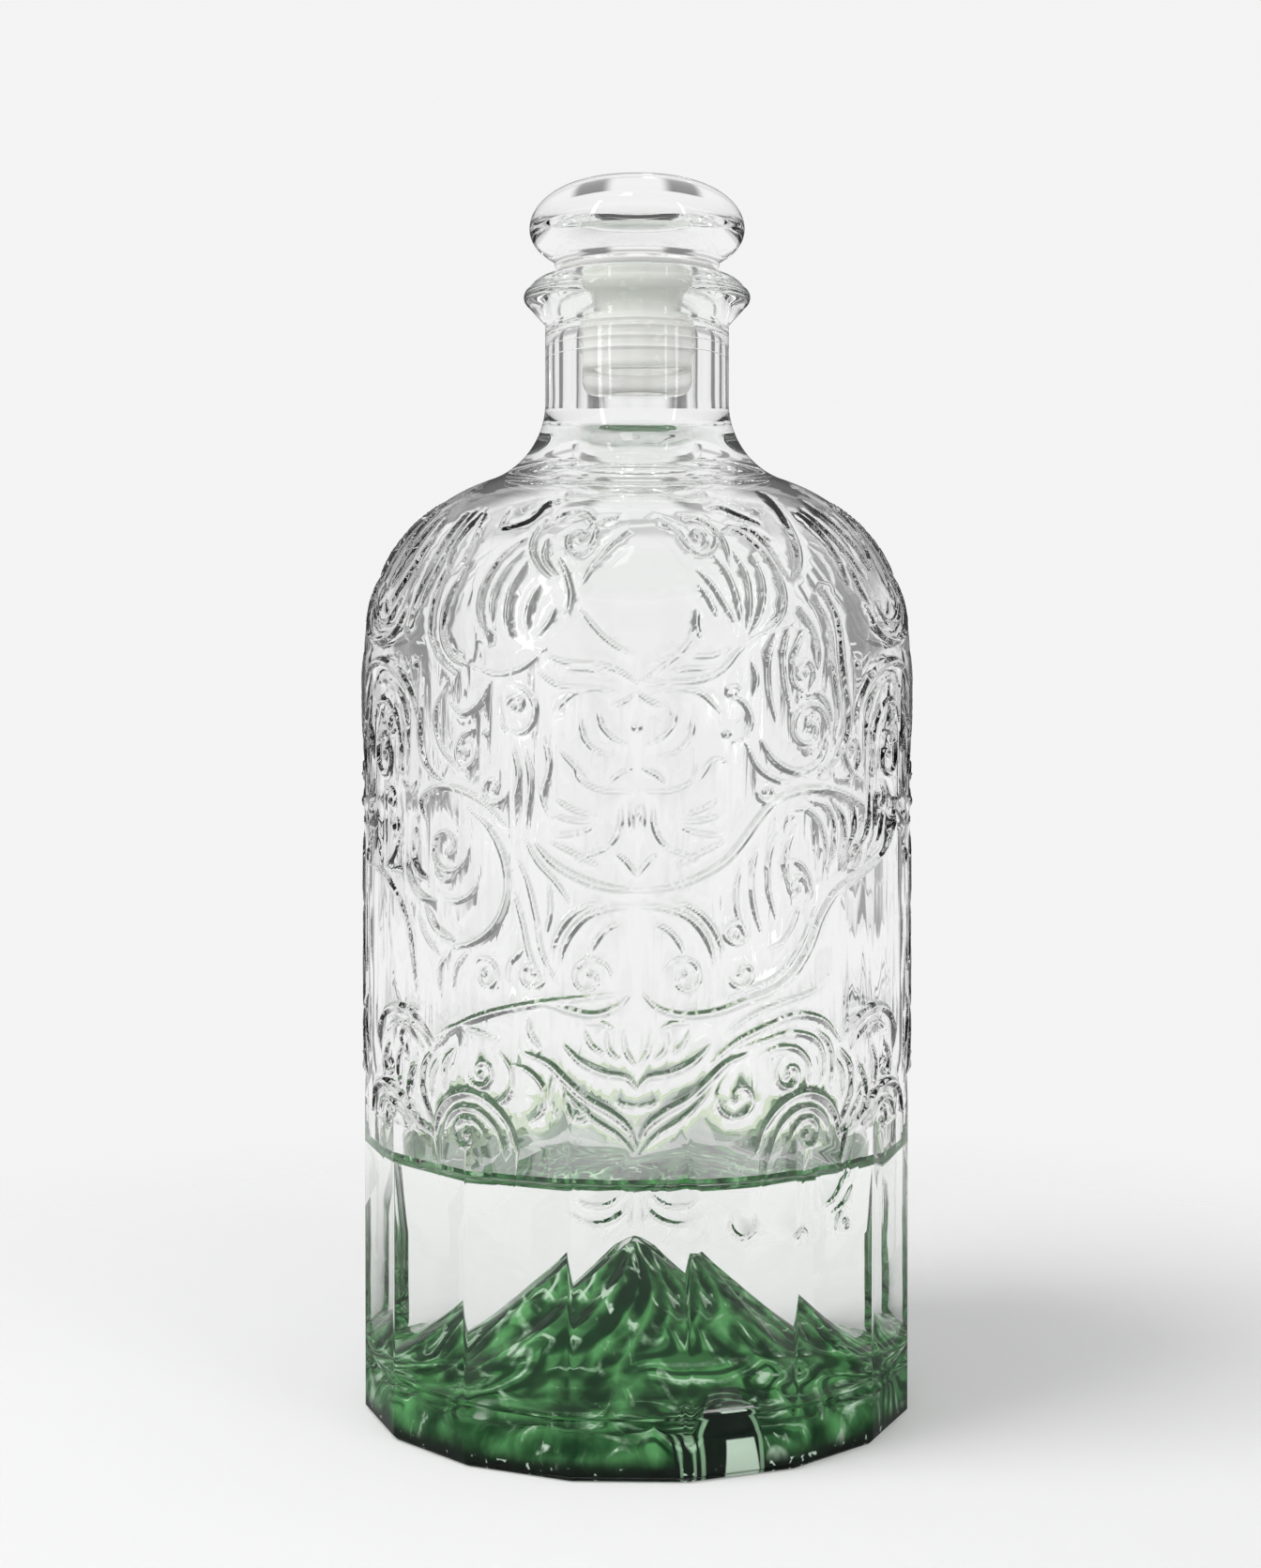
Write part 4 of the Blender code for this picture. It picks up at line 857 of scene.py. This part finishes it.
def buildStopper():                    # turned from one line: spigot's tip and side, foot, bead, crown
    r, c = stopper["spigotRadius"], stopper["spigotCorner"]
    foot, footZ, tipZ = stopper["foot"], stopper["footZ"], stopper["spigotEnd"]
    crown, middle = stopper["crown"], stopper["top"] - stopper["upper"]
    width = stopper["radius"] - stopper["lowerCentre"]
    footAngle = np.arccos((foot - stopper["lowerCentre"]) / width)
    tip = arc(r - c, tipZ + c, c, -np.pi / 2, 0, 14)
    side = [(r, z) for z in np.linspace(tip[-1, 1] + 2, footZ - 1, 6)]
    neck = roundEdge((r, footZ - 3), (r, footZ), (r + 3, footZ), 0.5)
    rim = roundEdge((r + 1, footZ), (foot, footZ), (foot, footZ + 1), 0.4)
    lower = arc(stopper["lowerCentre"], middle, width, -footAngle, 0, 20, radiusZ=stopper["lower"])
    upper = arc(crown, middle, stopper["radius"] - crown, 0, np.pi / 2, 36, radiusZ=stopper["upper"])[1:]
    k = np.linspace(crown, 0, 9)[1:-1]
    dome = stopper["top"] + stopper["dome"] * (0.5 + 0.5 * np.cos(np.pi * k / crown))
    profile = [(1.5, tipZ), (3.2, tipZ), *tip[1:], *side, *neck, *rim, *lower, *upper, *zip(k, dome)]
    summitZ = stopper["top"] + stopper["dome"]
    piece = closedSkin("stopperHead", (0, 0, tipZ), ringsOf(profile, stopper["columns"]), (0, 0, summitZ))
    report(piece)
    return piece


seal = {
    "wall": 0.6, "gap": 0.3,
    "ribs": 4, "ribPitch": 1.8, "ribDepth": 7.0, "ribReach": 9.78,
    "flange": 13.2, "flangeThickness": 0.9,
    "tipThickness": 4.1, "tipCorner": 2.5,
    "columns": 128,
}


def buildSeal():                       # turned from one line: tip, ribbed side, flange, then the cup inside
    lipTop, gap, flange, cornerOut = body["lipTop"], seal["gap"], seal["flange"], seal["tipCorner"]
    inside = stopper["spigotRadius"] + gap
    outside = inside + seal["wall"]
    cupFloor = stopper["spigotEnd"] - gap
    cupCorner = stopper["spigotCorner"] + gap
    flangeFoot = lipTop + 0.05
    flangeTop = lipTop + gap + seal["flangeThickness"]
    tipZ = cupFloor - seal["tipThickness"]
    tip = arc(outside - cornerOut, tipZ + cornerOut, cornerOut, -np.pi / 2, 0, 10)
    lowest = seal["ribDepth"] + (seal["ribs"] - 1 + 2 / 3) * seal["ribPitch"]
    depth = np.linspace(lowest, seal["ribDepth"], 60)
    share = ((depth - seal["ribDepth"]) / seal["ribPitch"]) % 1.0
    swell = np.where(share < 2 / 3, np.sin(np.pi * share * 1.5) ** 2, 0)      # a rib on 2/3 of each pitch
    ribs = zip(outside + (seal["ribReach"] - outside) * swell, lipTop - depth)
    rim = [(outside, flangeFoot - 0.4), (outside + 0.15, flangeFoot - 0.05), (flange - 0.3, flangeFoot),
           (flange, flangeFoot + 0.3), (flange, flangeTop - 0.3), (flange - 0.3, flangeTop),
           (inside + 0.3, flangeTop), (inside, flangeTop - 0.3)]
    cup = arc(inside - cupCorner, cupFloor + cupCorner, cupCorner, 0, -np.pi / 2, 10)
    profile = [(2.0, tipZ), (4.5, tipZ), *tip, *ribs, *rim, *cup, (2, cupFloor)]
    piece = closedSkin("sealSleeve", (0, 0, tipZ), ringsOf(profile, seal["columns"]), (0, 0, cupFloor))
    report(piece)
    return piece


class Socket:                          # a node's output with the operators that shader maths needs
    def __init__(self, tree, link):
        self.tree, self.link = tree, link

    def maths(self, operation, *others):
        return self.tree.node("ShaderNodeMath", {"operation": operation}, [self, *others])

    def __add__(self, other):
        return self.maths("ADD", other)

    def __sub__(self, other):
        return self.maths("SUBTRACT", other)

    def __rsub__(self, other):
        return self.tree.node("ShaderNodeMath", {"operation": "SUBTRACT"}, [other, self])

    def __mul__(self, other):
        return self.maths("MULTIPLY", other)

    __radd__ = __add__
    __rmul__ = __mul__


class Finish:                          # a material or world being built, node by node
    def __init__(self, name, owner=None):
        self.owner = owner or bpy.data.materials.new(name)
        self.owner.use_nodes = True
        self.tree = self.owner.node_tree
        self.tree.nodes.clear()

    def node(self, kind, settings=None, values=None, output=0):
        made = self.tree.nodes.new(kind)
        for key, value in (settings or {}).items():
            setattr(made, key, value)
        pairs = values.items() if isinstance(values, dict) else enumerate(values or [])
        for key, value in pairs:
            if isinstance(value, Socket):
                self.tree.links.new(value.link, made.inputs[key])
            elif value is not None:
                made.inputs[key].default_value = value
        return Socket(self, made.outputs[output])

    def ramp(self, value, low, high):      # 0 below low, 1 above high, a smooth step between
        return self.node("ShaderNodeMapRange", {"interpolation_type": "SMOOTHSTEP"},
                         {"Value": value, "From Min": low, "From Max": high})

    def line(self, value, middle, width):      # 1 where value is at middle, 0 from width away
        return self.falling((value - middle).maths("ABSOLUTE"), width * 0.4, width)

    def falling(self, value, low, high):       # 1 below low, 0 above high
        return 1 - self.ramp(value, low, high)

    def within(self, value, low, high, soft=0.12):     # 1 between low and high
        return self.ramp(value, low - soft, low + soft) * self.falling(value, high - soft, high + soft)

    def mix(self, first, second, share):
        return self.node("ShaderNodeMix", {"data_type": "RGBA"}, {0: share, 6: first, 7: second}, output=2)

    def bump(self, strength, height):          # height in millimetres
        return self.node("ShaderNodeBump", None, {"Strength": strength, "Distance": 0.001, "Height": height})

    def attribute(self, name):
        return self.node("ShaderNodeAttribute", {"attribute_name": name}, output="Fac")

    def principled(self, inputs):
        return self.node("ShaderNodeBsdfPrincipled", None, inputs)

    def surface(self, shader):
        kind = "World" if isinstance(self.owner, bpy.types.World) else "Material"
        out = self.tree.nodes.new("ShaderNodeOutput" + kind)
        self.tree.links.new(shader.link, out.inputs["Surface"])
        return self.owner


def place(finish):                     # Object coordinates, in metres
    return finish.node("ShaderNodeTexCoord", output="Object")


def noise(finish, scale, detail=2.0, roughness=0.5, distortion=0.0, stretch=(1, 1, 1)):
    # scale counts the waves in a metre, times stretch along x, y and z
    where = finish.node("ShaderNodeMapping", None, {"Vector": place(finish), "Scale": stretch})
    return finish.node("ShaderNodeTexNoise", None, {"Vector": where, "Scale": scale, "Detail": detail,
                                                    "Roughness": roughness, "Distortion": distortion})


def splitPlace(finish):                # x, y and z in millimetres
    outputs = finish.node("ShaderNodeSeparateXYZ", None, [place(finish)]).link.node.outputs
    return [Socket(finish, item) * perMetre for item in outputs]


glassLook = {
    "tint": (0.990, 0.994, 0.991, 1), "lipTint": (0.955, 0.982, 0.958, 1), "ior": 1.5,
    # tint of the painted shade on the ridges' steep flanks
    "paintedFlankShade": (0.50, 0.52, 0.50, 1),
    "waviness": 0.06, "wavinessScale": 110.0,
}


def glassFinish(name, look, ior=None):
    f = Finish(name)
    tint = look["tint"]
    if "lipTint" in look:              # the lip is thick to look through, so its glass shows a little green
        tint = f.mix(tint, look["lipTint"], f.ramp(splitPlace(f)[2], body["lipTop"] - 8, body["lipTop"] - 5))
    # painted shade: the ridges' steep flanks take a darker tint
    if "paintedFlankShade" in look:
        tint = f.mix(tint, look["paintedFlankShade"], f.attribute("paintedFlankShade"))
    ripple = noise(f, look["wavinessScale"], 1.0)
    return f.surface(f.principled({
        "Base Color": tint, "Roughness": 0.0, "IOR": ior or look["ior"], "Transmission Weight": 1.0,
        "Normal": f.bump(look["waviness"], ripple)}))


greenLook = {
    "highFrom": 15.0, "highFull": 25.0, "lowFrom": 12.0, "lowFull": 6.0,     # heights over which painted light makes it paler, at the top and low down
    "paintedLightTop": 0.14, "paintedLightFoot": 0.12,                 # how much paler the painted light makes it
    "lowRelief": 0.4, "lowClouds": 0.35,               # share of the relief and the clouds lost at the foot
    "valueLow": 0.01, "valueHigh": 0.63,               # sums of all that make it dark, and bright
    # shadeBlack is the colour of the painted shade at the foot and in the portal
    "shadeBlack": (0.002, 0.010, 0.004, 1), "dark": (0.001, 0.036, 0.008, 1), "bright": (0.130, 0.43, 0.145, 1),
    # crest and paleLight are the colours of painted highlights, glints and painted light
    "crest": (0.52, 0.82, 0.54, 1), "paleLight": (0.74, 0.92, 0.76, 1), "roughness": 0.1, "ior": 1.16,
    "footShadeLow": 1.6, "footShadeHigh": 4.8,                   # painted shade makes it nearly black towards its foot
    "folds": [(38.0, 0.9, 9.0, 0.9), (75.0, 0.7, 6.0, 0.6)],     # noise scale, distortion, count, strength
}


def portalPicture(f, x, y, z):
    # the arch from the front: masks of painted shade in its dark inside and between the pillar's ribs,
    # painted highlights on its outline and ribs, and the pale pane of painted light inside it
    a, half = portal["azimuth"], portal["width"] / 2
    side = x * np.cos(a) + y * np.sin(a)
    front = f.ramp(x * np.sin(a) - y * np.cos(a), floorRadius - 2, floorRadius - 1)
    top = portal["height"]
    rise = (z - (top - half)).maths("MAXIMUM", 0.0)
    reach = (side * side + rise * rise).maths("SQRT")
    lean = (5.4 - z) * 0.12
    paneLight = f.within(z, 0.5, 5.2) * f.ramp(side + lean, -0.9, -0.6) * f.falling(side - lean, 3.6, 3.9)
    dark = f.falling(reach, half - 0.7, half - 0.5) * (1 - paneLight)
    ribs = ((side + half) * (2 * np.pi / 1.5)).maths("SINE")
    pillar = f.within(side, -half - 3.6, -half - 0.3) * f.falling(z, top - 1.6, top - 1)
    light = f.line(reach, half - 0.2, 0.45) * 0.55 + pillar * f.ramp(ribs, 0.3, 0.9) * 0.5
    portalShade = dark + pillar * f.ramp(ribs, 0.0, -0.6)
    return front * portalShade, front * light, front * paneLight


# the lacquer's own greens and random clouds, with painted shade, painted highlights and painted light laid
# into the colour
def greenFinish():
    f = Finish("greenLacquerAndPaintedLight")
    x, y, z = splitPlace(f)
    relief = f.attribute("relief")
    streak = noise(f, 240.0, 3.0, 0.6, stretch=(1, 1, 0.5))
    clouds = (noise(f, 60.0, 3.0, 0.6) - 0.5) * 1.1 + (streak - 0.5) * 0.9
    # painted light: paler towards the peak and low down, leaving the middle heights darker as painted shade
    high = f.ramp(z, greenLook["highFrom"], greenLook["highFull"])
    low = f.ramp(z, greenLook["lowFrom"], greenLook["lowFull"])
    value = relief * (1 - greenLook["lowRelief"] * low) + clouds * (1 - greenLook["lowClouds"] * low)
    value = value + greenLook["paintedLightTop"] * high + greenLook["paintedLightFoot"] * low
    dark, crest, paleLight = greenLook["dark"], greenLook["crest"], greenLook["paleLight"]
    # dark where the relief and the random clouds are low, bright where they are high: painted shade in the
    # rock's hollows, with a random tone
    share = f.ramp(value, greenLook["valueLow"], greenLook["valueHigh"])
    colour = f.mix(dark, greenLook["bright"], share)
    bumps = streak * 0.3
    for scale, distortion, count, strength in greenLook["folds"]:
        # bundles of parallel folds: the sine of a smooth noise, whose whole range holds count waves; painted
        # shade darkens their troughs, painted highlights and glints light their crests, more glints near the
        # peak
        fold = (noise(f, scale, 1.0, 0.4, distortion, (1, 1, 0.5)) * (2 * np.pi * count)).maths("SINE")
        bundle = f.ramp(noise(f, scale * 1.7, 1.0), 0.42, 0.58) * strength
        colour = f.mix(colour, dark, f.ramp(fold, -0.2, -0.9) * bundle)
        colour = f.mix(colour, crest, f.ramp(fold, 0.72, 1.0) * bundle * f.ramp(streak, 0.35, 0.65))
        glints = f.ramp(fold, 0.85, 0.97) * f.ramp(streak + 0.08 * high, 0.56, 0.64) * strength
        colour = f.mix(colour, paleLight, glints)
        bumps = bumps + fold * bundle * 0.2
    # painted shade: nearly black towards the foot
    foot = f.ramp(z + streak, greenLook["footShadeLow"], greenLook["footShadeHigh"])
    colour = f.mix(greenLook["shadeBlack"], colour, foot)
    # painted glints: small pale sparkles in a ring low on the foot
    sparkle = f.ramp(noise(f, 900.0, 1.0), 0.66, 0.72) * f.within(z, 0.9, 1.8)
    portalShade, light, paneLight = portalPicture(f, x, y, z)
    # painted shade in the arch and between the ribs, painted highlights on its outline and ribs, painted
    # light in its pane
    colour = f.mix(colour, greenLook["shadeBlack"], portalShade)
    colour = f.mix(colour, crest, light)
    colour = f.mix(colour, paleLight, paneLight.maths("MAXIMUM", sparkle))
    return f.surface(f.principled({
        "Base Color": colour, "Roughness": greenLook["roughness"], "IOR": greenLook["ior"],
        "Normal": f.bump(0.6, bumps)}))


# top and rim tint the spirit's surface and meniscus green: painted colour standing in for the green floor
# seen through the surface
liquorLook = {
    "tint": (0.99, 1.0, 0.985, 1), "top": (0.88, 0.965, 0.87, 1), "rim": (0.62, 0.80, 0.44, 1),
    "ior": 1.36,
}


def liquorFinish(name, ior, tint):
    f = Finish(name)
    varied = f.mix(tint, (1, 1, 1, 1), f.ramp(noise(f, 60.0), 0.4, 0.7) * 0.25)
    return f.surface(f.principled({
        "Base Color": varied, "Roughness": 0.0, "IOR": ior, "Transmission Weight": 1.0}))


sealLook = {"dense": (0.995, 0.995, 0.965, 1), "clear": (0.97, 0.97, 0.945, 1), "ior": 1.12}


def sealFinish():                      # milky round the spigot, nearly clear in the tip below it
    f = Finish("translucentSleeve")
    height = splitPlace(f)[2]
    cloud = noise(f, 400.0, 2.0)
    milky = f.principled({
        "Base Color": sealLook["dense"], "Roughness": 0.2 + cloud * 0.12, "IOR": sealLook["ior"],
        "Transmission Weight": 0.1})
    clear = f.principled({
        "Base Color": sealLook["clear"], "Roughness": 0.06 + cloud * 0.08, "IOR": sealLook["ior"],
        "Transmission Weight": 0.85})
    share = f.ramp(height, stopper["spigotEnd"] - 0.8, stopper["spigotEnd"] + 1.2)
    return f.surface(f.node("ShaderNodeMixShader", None, [share, clear, milky]))


def dress(piece, materials, cadBody, node):      # a piece rides its body in place of the CAD node
    for material in materials:
        piece.data.materials.append(material)
    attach(piece, cadBody)
    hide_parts(node)


# Where the liquid touches the glass, the glass's face carries the step between the two, the liquid's none
clearGlass = glassFinish("clearGlass", glassLook)
wetGlass = glassFinish("wetGlass", glassLook, glassLook["ior"] / liquorLook["ior"])
spirit = [liquorFinish("spiritSurfacePaintedGreen", liquorLook["ior"], liquorLook["top"]),
          liquorFinish("spiritAgainstGlass", 1.0, liquorLook["tint"]),
          liquorFinish("spiritRimPaintedGreen", liquorLook["ior"], liquorLook["rim"])]
stopperLook = {"tint": (0.99, 0.99, 0.99, 1), "ior": 1.5, "waviness": 0.03, "wavinessScale": 60.0}
stopperGlass = glassFinish("stopperClearGlass", stopperLook)
dress(buildBottle(), [clearGlass, wetGlass], "bottle", "bottle_glass")
dress(buildLiner(), [greenFinish()], "bottle", "mountain_liner")
dress(buildLiquor(), spirit, "bottle", "liquor")
dress(buildStopper(), [stopperGlass], "stopper", "stopper_glass")
dress(buildSeal(), [sealFinish()], "stopper", "stopper_seal")
print("pieces dressed")

studio = {
    "backdrop": 0.9,           # what camera, glossy and transmission rays see far away
    "fill": 0.42,              # light of the room on everything else
    "floorColour": 0.86, "floorInReflections": 0.15,
    "floorRadii": (400, 1600), "floorSides": 96,
    "fadeFrom": 0.075, "fadeTo": 0.26,     # metres from the middle over which the floor turns clear
}


def buildFloor():              # a pale round floor that fades into the backdrop
    sides = studio["floorSides"]
    around = np.linspace(0, 2 * np.pi, sides + 1)[:-1]
    circle = np.stack([np.cos(around), np.sin(around), np.zeros(sides)], axis=-1)
    vertices = np.concatenate([[[0, 0, 0]]] + [r * circle for r in studio["floorRadii"]]) - [0, 0, 0.05]
    inner = 1 + np.arange(sides)
    outer = inner + sides
    innerNext, outerNext = np.roll(inner, -1), np.roll(outer, -1)
    faces = [np.column_stack([np.zeros(sides, int), inner, innerNext]),
             np.column_stack([inner, outer, outerNext]), np.column_stack([inner, outerNext, innerNext])]
    floor = toMesh("floor", vertices, np.concatenate(faces))
    f = Finish("paleFloor")
    c, g = studio["floorColour"], studio["floorInReflections"]
    path = f.node("ShaderNodeLightPath").link.node.outputs       # a refracted ray counts as glossy too
    bounced = Socket(f, path["Is Glossy Ray"]) * (1 - Socket(f, path["Is Transmission Ray"]))
    colour = f.mix((c, c, c, 1), (g, g, g, 1), bounced)
    cloth = f.node("ShaderNodeBsdfDiffuse", None, {"Color": colour})
    clear = f.node("ShaderNodeBsdfTransparent")
    away = f.node("ShaderNodeVectorMath", {"operation": "LENGTH"}, [place(f)], output="Value")
    share = f.ramp(away, studio["fadeFrom"], studio["fadeTo"])
    floor.data.materials.append(f.surface(f.node("ShaderNodeMixShader", None, [share, cloth, clear])))


def buildWorld():                      # white for the rays that see it, grey for those that light with it
    world = bpy.data.worlds.new("studioWorld")
    bpy.context.scene.world = world
    f = Finish("studioWorld", world)
    path = f.node("ShaderNodeLightPath").link.node.outputs
    rays = [Socket(f, path["Is %s Ray" % kind]) for kind in ("Camera", "Glossy", "Transmission")]
    seen = rays[0].maths("MAXIMUM", rays[1]).maths("MAXIMUM", rays[2])
    white, grey = studio["backdrop"], studio["fill"]
    far = f.node("ShaderNodeBackground", None, {"Color": (white, white, white, 1), "Strength": 1.0})
    near = f.node("ShaderNodeBackground", None, {"Color": (grey, grey, grey * 1.01, 1), "Strength": 1.0})
    f.surface(f.node("ShaderNodeMixShader", None, [seen, near, far]))


# What the glass sees of the studio. Through it: a white surround that darkens between the four main views and
# again in a hood above them, so that the ridges show as lines. In its reflections: a darker room with white
# strips. Angles are in degrees.
surround = {
    "distance": 2200.0,
    "plain": 1.2, "plainTop": 2.5, "plainSide": 0.5, "plainFrom": -60.0,     # light on dull surfaces
    "between": 0.24,                       # share of the light left between the views
    "betweenFrom": 8.0, "betweenFull": 13.0, "betweenEnd": 22.0, "betweenGone": 28.0,      # away from a view
    "betweenTop": 30.0, "betweenTopGone": 45.0,
    "hood": 0.60,                          # share of the light left in the hood
    "hoodFrom": 13.0, "hoodFull": 18.0, "hoodEnd": 26.0, "hoodGone": 34.0,
    "room": 0.12, "roomFrom": 12.0, "roomGone": 48.0,
    "strips": [(-47, 5, 5, 42, 6.0), (50, 5, 4, 36, 5.0), (-20, 62, 22, 12, 3.5)],
    # azimuth, lower elevation, width, height, strength
}


def ease(value, low, high):            # 0 at low, 1 at high, with a smooth step between
    share = np.clip((value - low) / (high - low), 0, 1)
    return share * share * (3 - 2 * share)


def throughShade(azimuth, elevation):      # white, less between two views and in the hood above them
    s = surround
    away = np.abs((azimuth + 45) % 90 - 45)
    between = ease(away, s["betweenFrom"], s["betweenFull"]) - ease(away, s["betweenEnd"], s["betweenGone"])
    between *= (1 - s["between"]) * (1 - ease(elevation, s["betweenTop"], s["betweenTopGone"]))
    hood = ease(elevation, s["hoodFrom"], s["hoodFull"]) - ease(elevation, s["hoodEnd"], s["hoodGone"])
    return studio["backdrop"] * (1 - np.maximum(between, (1 - s["hood"]) * hood))


def dullLight(azimuth, elevation):         # stronger overhead and from the key lamp's side
    s = surround
    level = s["plain"] + (s["plainTop"] - s["plain"]) * ease(elevation, 0, 70)
    facing = np.cos(np.radians(azimuth - s["plainFrom"])) * np.cos(np.radians(elevation))
    return level * (1 + s["plainSide"] * facing)


def roomShade(azimuth, elevation):         # dark at the horizon, white overhead
    s = surround
    return s["room"] + (studio["backdrop"] - s["room"]) * ease(elevation, s["roomFrom"], s["roomGone"])


def glowShell(name, radius, span, shade, steps, seenBy):
    # part of a sphere round the set that glows by its own attribute: span is azimuths and elevations, shade a
    # function of them or one number
    azimuth, elevation = np.meshgrid(np.linspace(span[0], span[1], steps[0] + 1),
                                     np.linspace(span[2], span[3], steps[1] + 1))
    a, e = np.radians(azimuth), np.radians(elevation)
    points = turnPoints(radius * np.cos(e), a, radius * np.sin(e) + 100).reshape(-1, 3)
    across = steps[0] + 1
    k = (np.arange(steps[1])[:, None] * across + np.arange(steps[0])).ravel()
    above = k + across
    halves = [np.column_stack([k, k + 1, above + 1]), np.column_stack([k, above + 1, above])]
    shell = toMesh(name, points, np.concatenate(halves))
    glow = shade(azimuth, elevation) if callable(shade) else shade
    paintPoints(shell.data, "glow", np.broadcast_to(glow, azimuth.shape))
    paintPoints(shell.data, "dull", dullLight(azimuth, elevation))
    f = Finish(name)
    dull = f.node("ShaderNodeLightPath", output="Diffuse Depth").maths("GREATER_THAN", 0.5)
    plain = f.node("ShaderNodeEmission", None, {"Strength": f.attribute("dull")})
    shown = f.node("ShaderNodeEmission", None, {"Strength": f.attribute("glow")})
    shell.data.materials.append(f.surface(f.node("ShaderNodeMixShader", None, [dull, shown, plain])))
    shell.visible_camera = shell.visible_diffuse = shell.visible_shadow = shell.visible_volume_scatter = False
    shell.visible_glossy = "glossy" in seenBy
    shell.visible_transmission = "transmission" in seenBy


def buildSurround():
    far = surround["distance"]
    whole = (0, 360, -3, 90)
    glowShell("whiteSurround", far, whole, throughShade, (360, 93), "transmission")
    glowShell("darkRoom", far * 0.98, whole, roomShade, (120, 31), "glossy")
    for number, (azimuth, low, width, height, strength) in enumerate(surround["strips"], 1):
        span = (azimuth - width / 2, azimuth + width / 2, low, low + height)
        glowShell("strip%d" % number, far * 0.9, span, strength, (6, 12), "glossy transmission")


lamps = [      # name, azimuth, elevation, distance, width, height, power in watts
    ("keyBox", -62, 56, 1100, 500, 600, 6.2),
    ("fillBox", 40, 40, 1200, 300, 900, 1.0),
    ("topBox", 10, 82, 1100, 900, 900, 2.4),
]


def buildLamps():                      # area lamps aimed at the middle of the bottle
    for name, azimuth, elevation, distance, width, height, power in lamps:
        light = bpy.data.lights.new(name, "AREA")
        light.shape = "RECTANGLE"
        light.size, light.size_y = width / perMetre, height / perMetre
        light.energy = power
        lamp = bpy.data.objects.new(name, light)
        a, e = np.radians(azimuth), np.radians(elevation)
        lamp.location = turnPoints(distance * np.cos(e), a, distance * np.sin(e)) / perMetre
        lamp.rotation_euler = (Vector((0, 0, 0.1)) - lamp.location).to_track_quat("-Z", "Y").to_euler()
        lamp.visible_glossy = lamp.visible_transmission = False
        bpy.context.scene.collection.objects.link(lamp)


# The photograph's view: pixels of the 1344 x 1671 picture, lengths in millimetres
shot = {
    "width": 1344, "height": 1671,
    "focal": 2581.0,
    "axisColumn": 679.0,
    "horizonRow": 718.0,
    "distance": 404.0,
    "eye": 121.0,
    "pitch": np.radians(1.3),
}


def buildCamera():                     # a shifted lens keeps the bottle's upright edges as in the photograph
    camera = bpy.data.cameras.new("photoView")
    camera.sensor_width = 36.0
    camera.lens = 36.0 * shot["focal"] / shot["height"]
    rise = shot["height"] / 2 - shot["horizonRow"] - shot["focal"] * np.tan(shot["pitch"])
    camera.shift_y = -rise / shot["height"]
    camera.shift_x = (shot["width"] / 2 - shot["axisColumn"]) / shot["height"]
    camera.clip_start, camera.clip_end = 0.01, 20.0
    view = bpy.data.objects.new("photoView", camera)
    view.location = (0, -shot["distance"] / perMetre, shot["eye"] / perMetre)
    view.rotation_euler = (np.pi / 2 - shot["pitch"], 0, 0)
    bpy.context.scene.collection.objects.link(view)
    bpy.context.scene.camera = view


buildFloor()
buildWorld()
buildSurround()
buildLamps()
buildCamera()
scene = bpy.context.scene
scene.view_settings.view_transform = "Standard"
scene.cycles.max_bounces = 32
scene.cycles.transmission_bounces = 32
scene.cycles.glossy_bounces = 8
scene.cycles.diffuse_bounces = 3
scene.cycles.transparent_max_bounces = 16
print("studio ready")
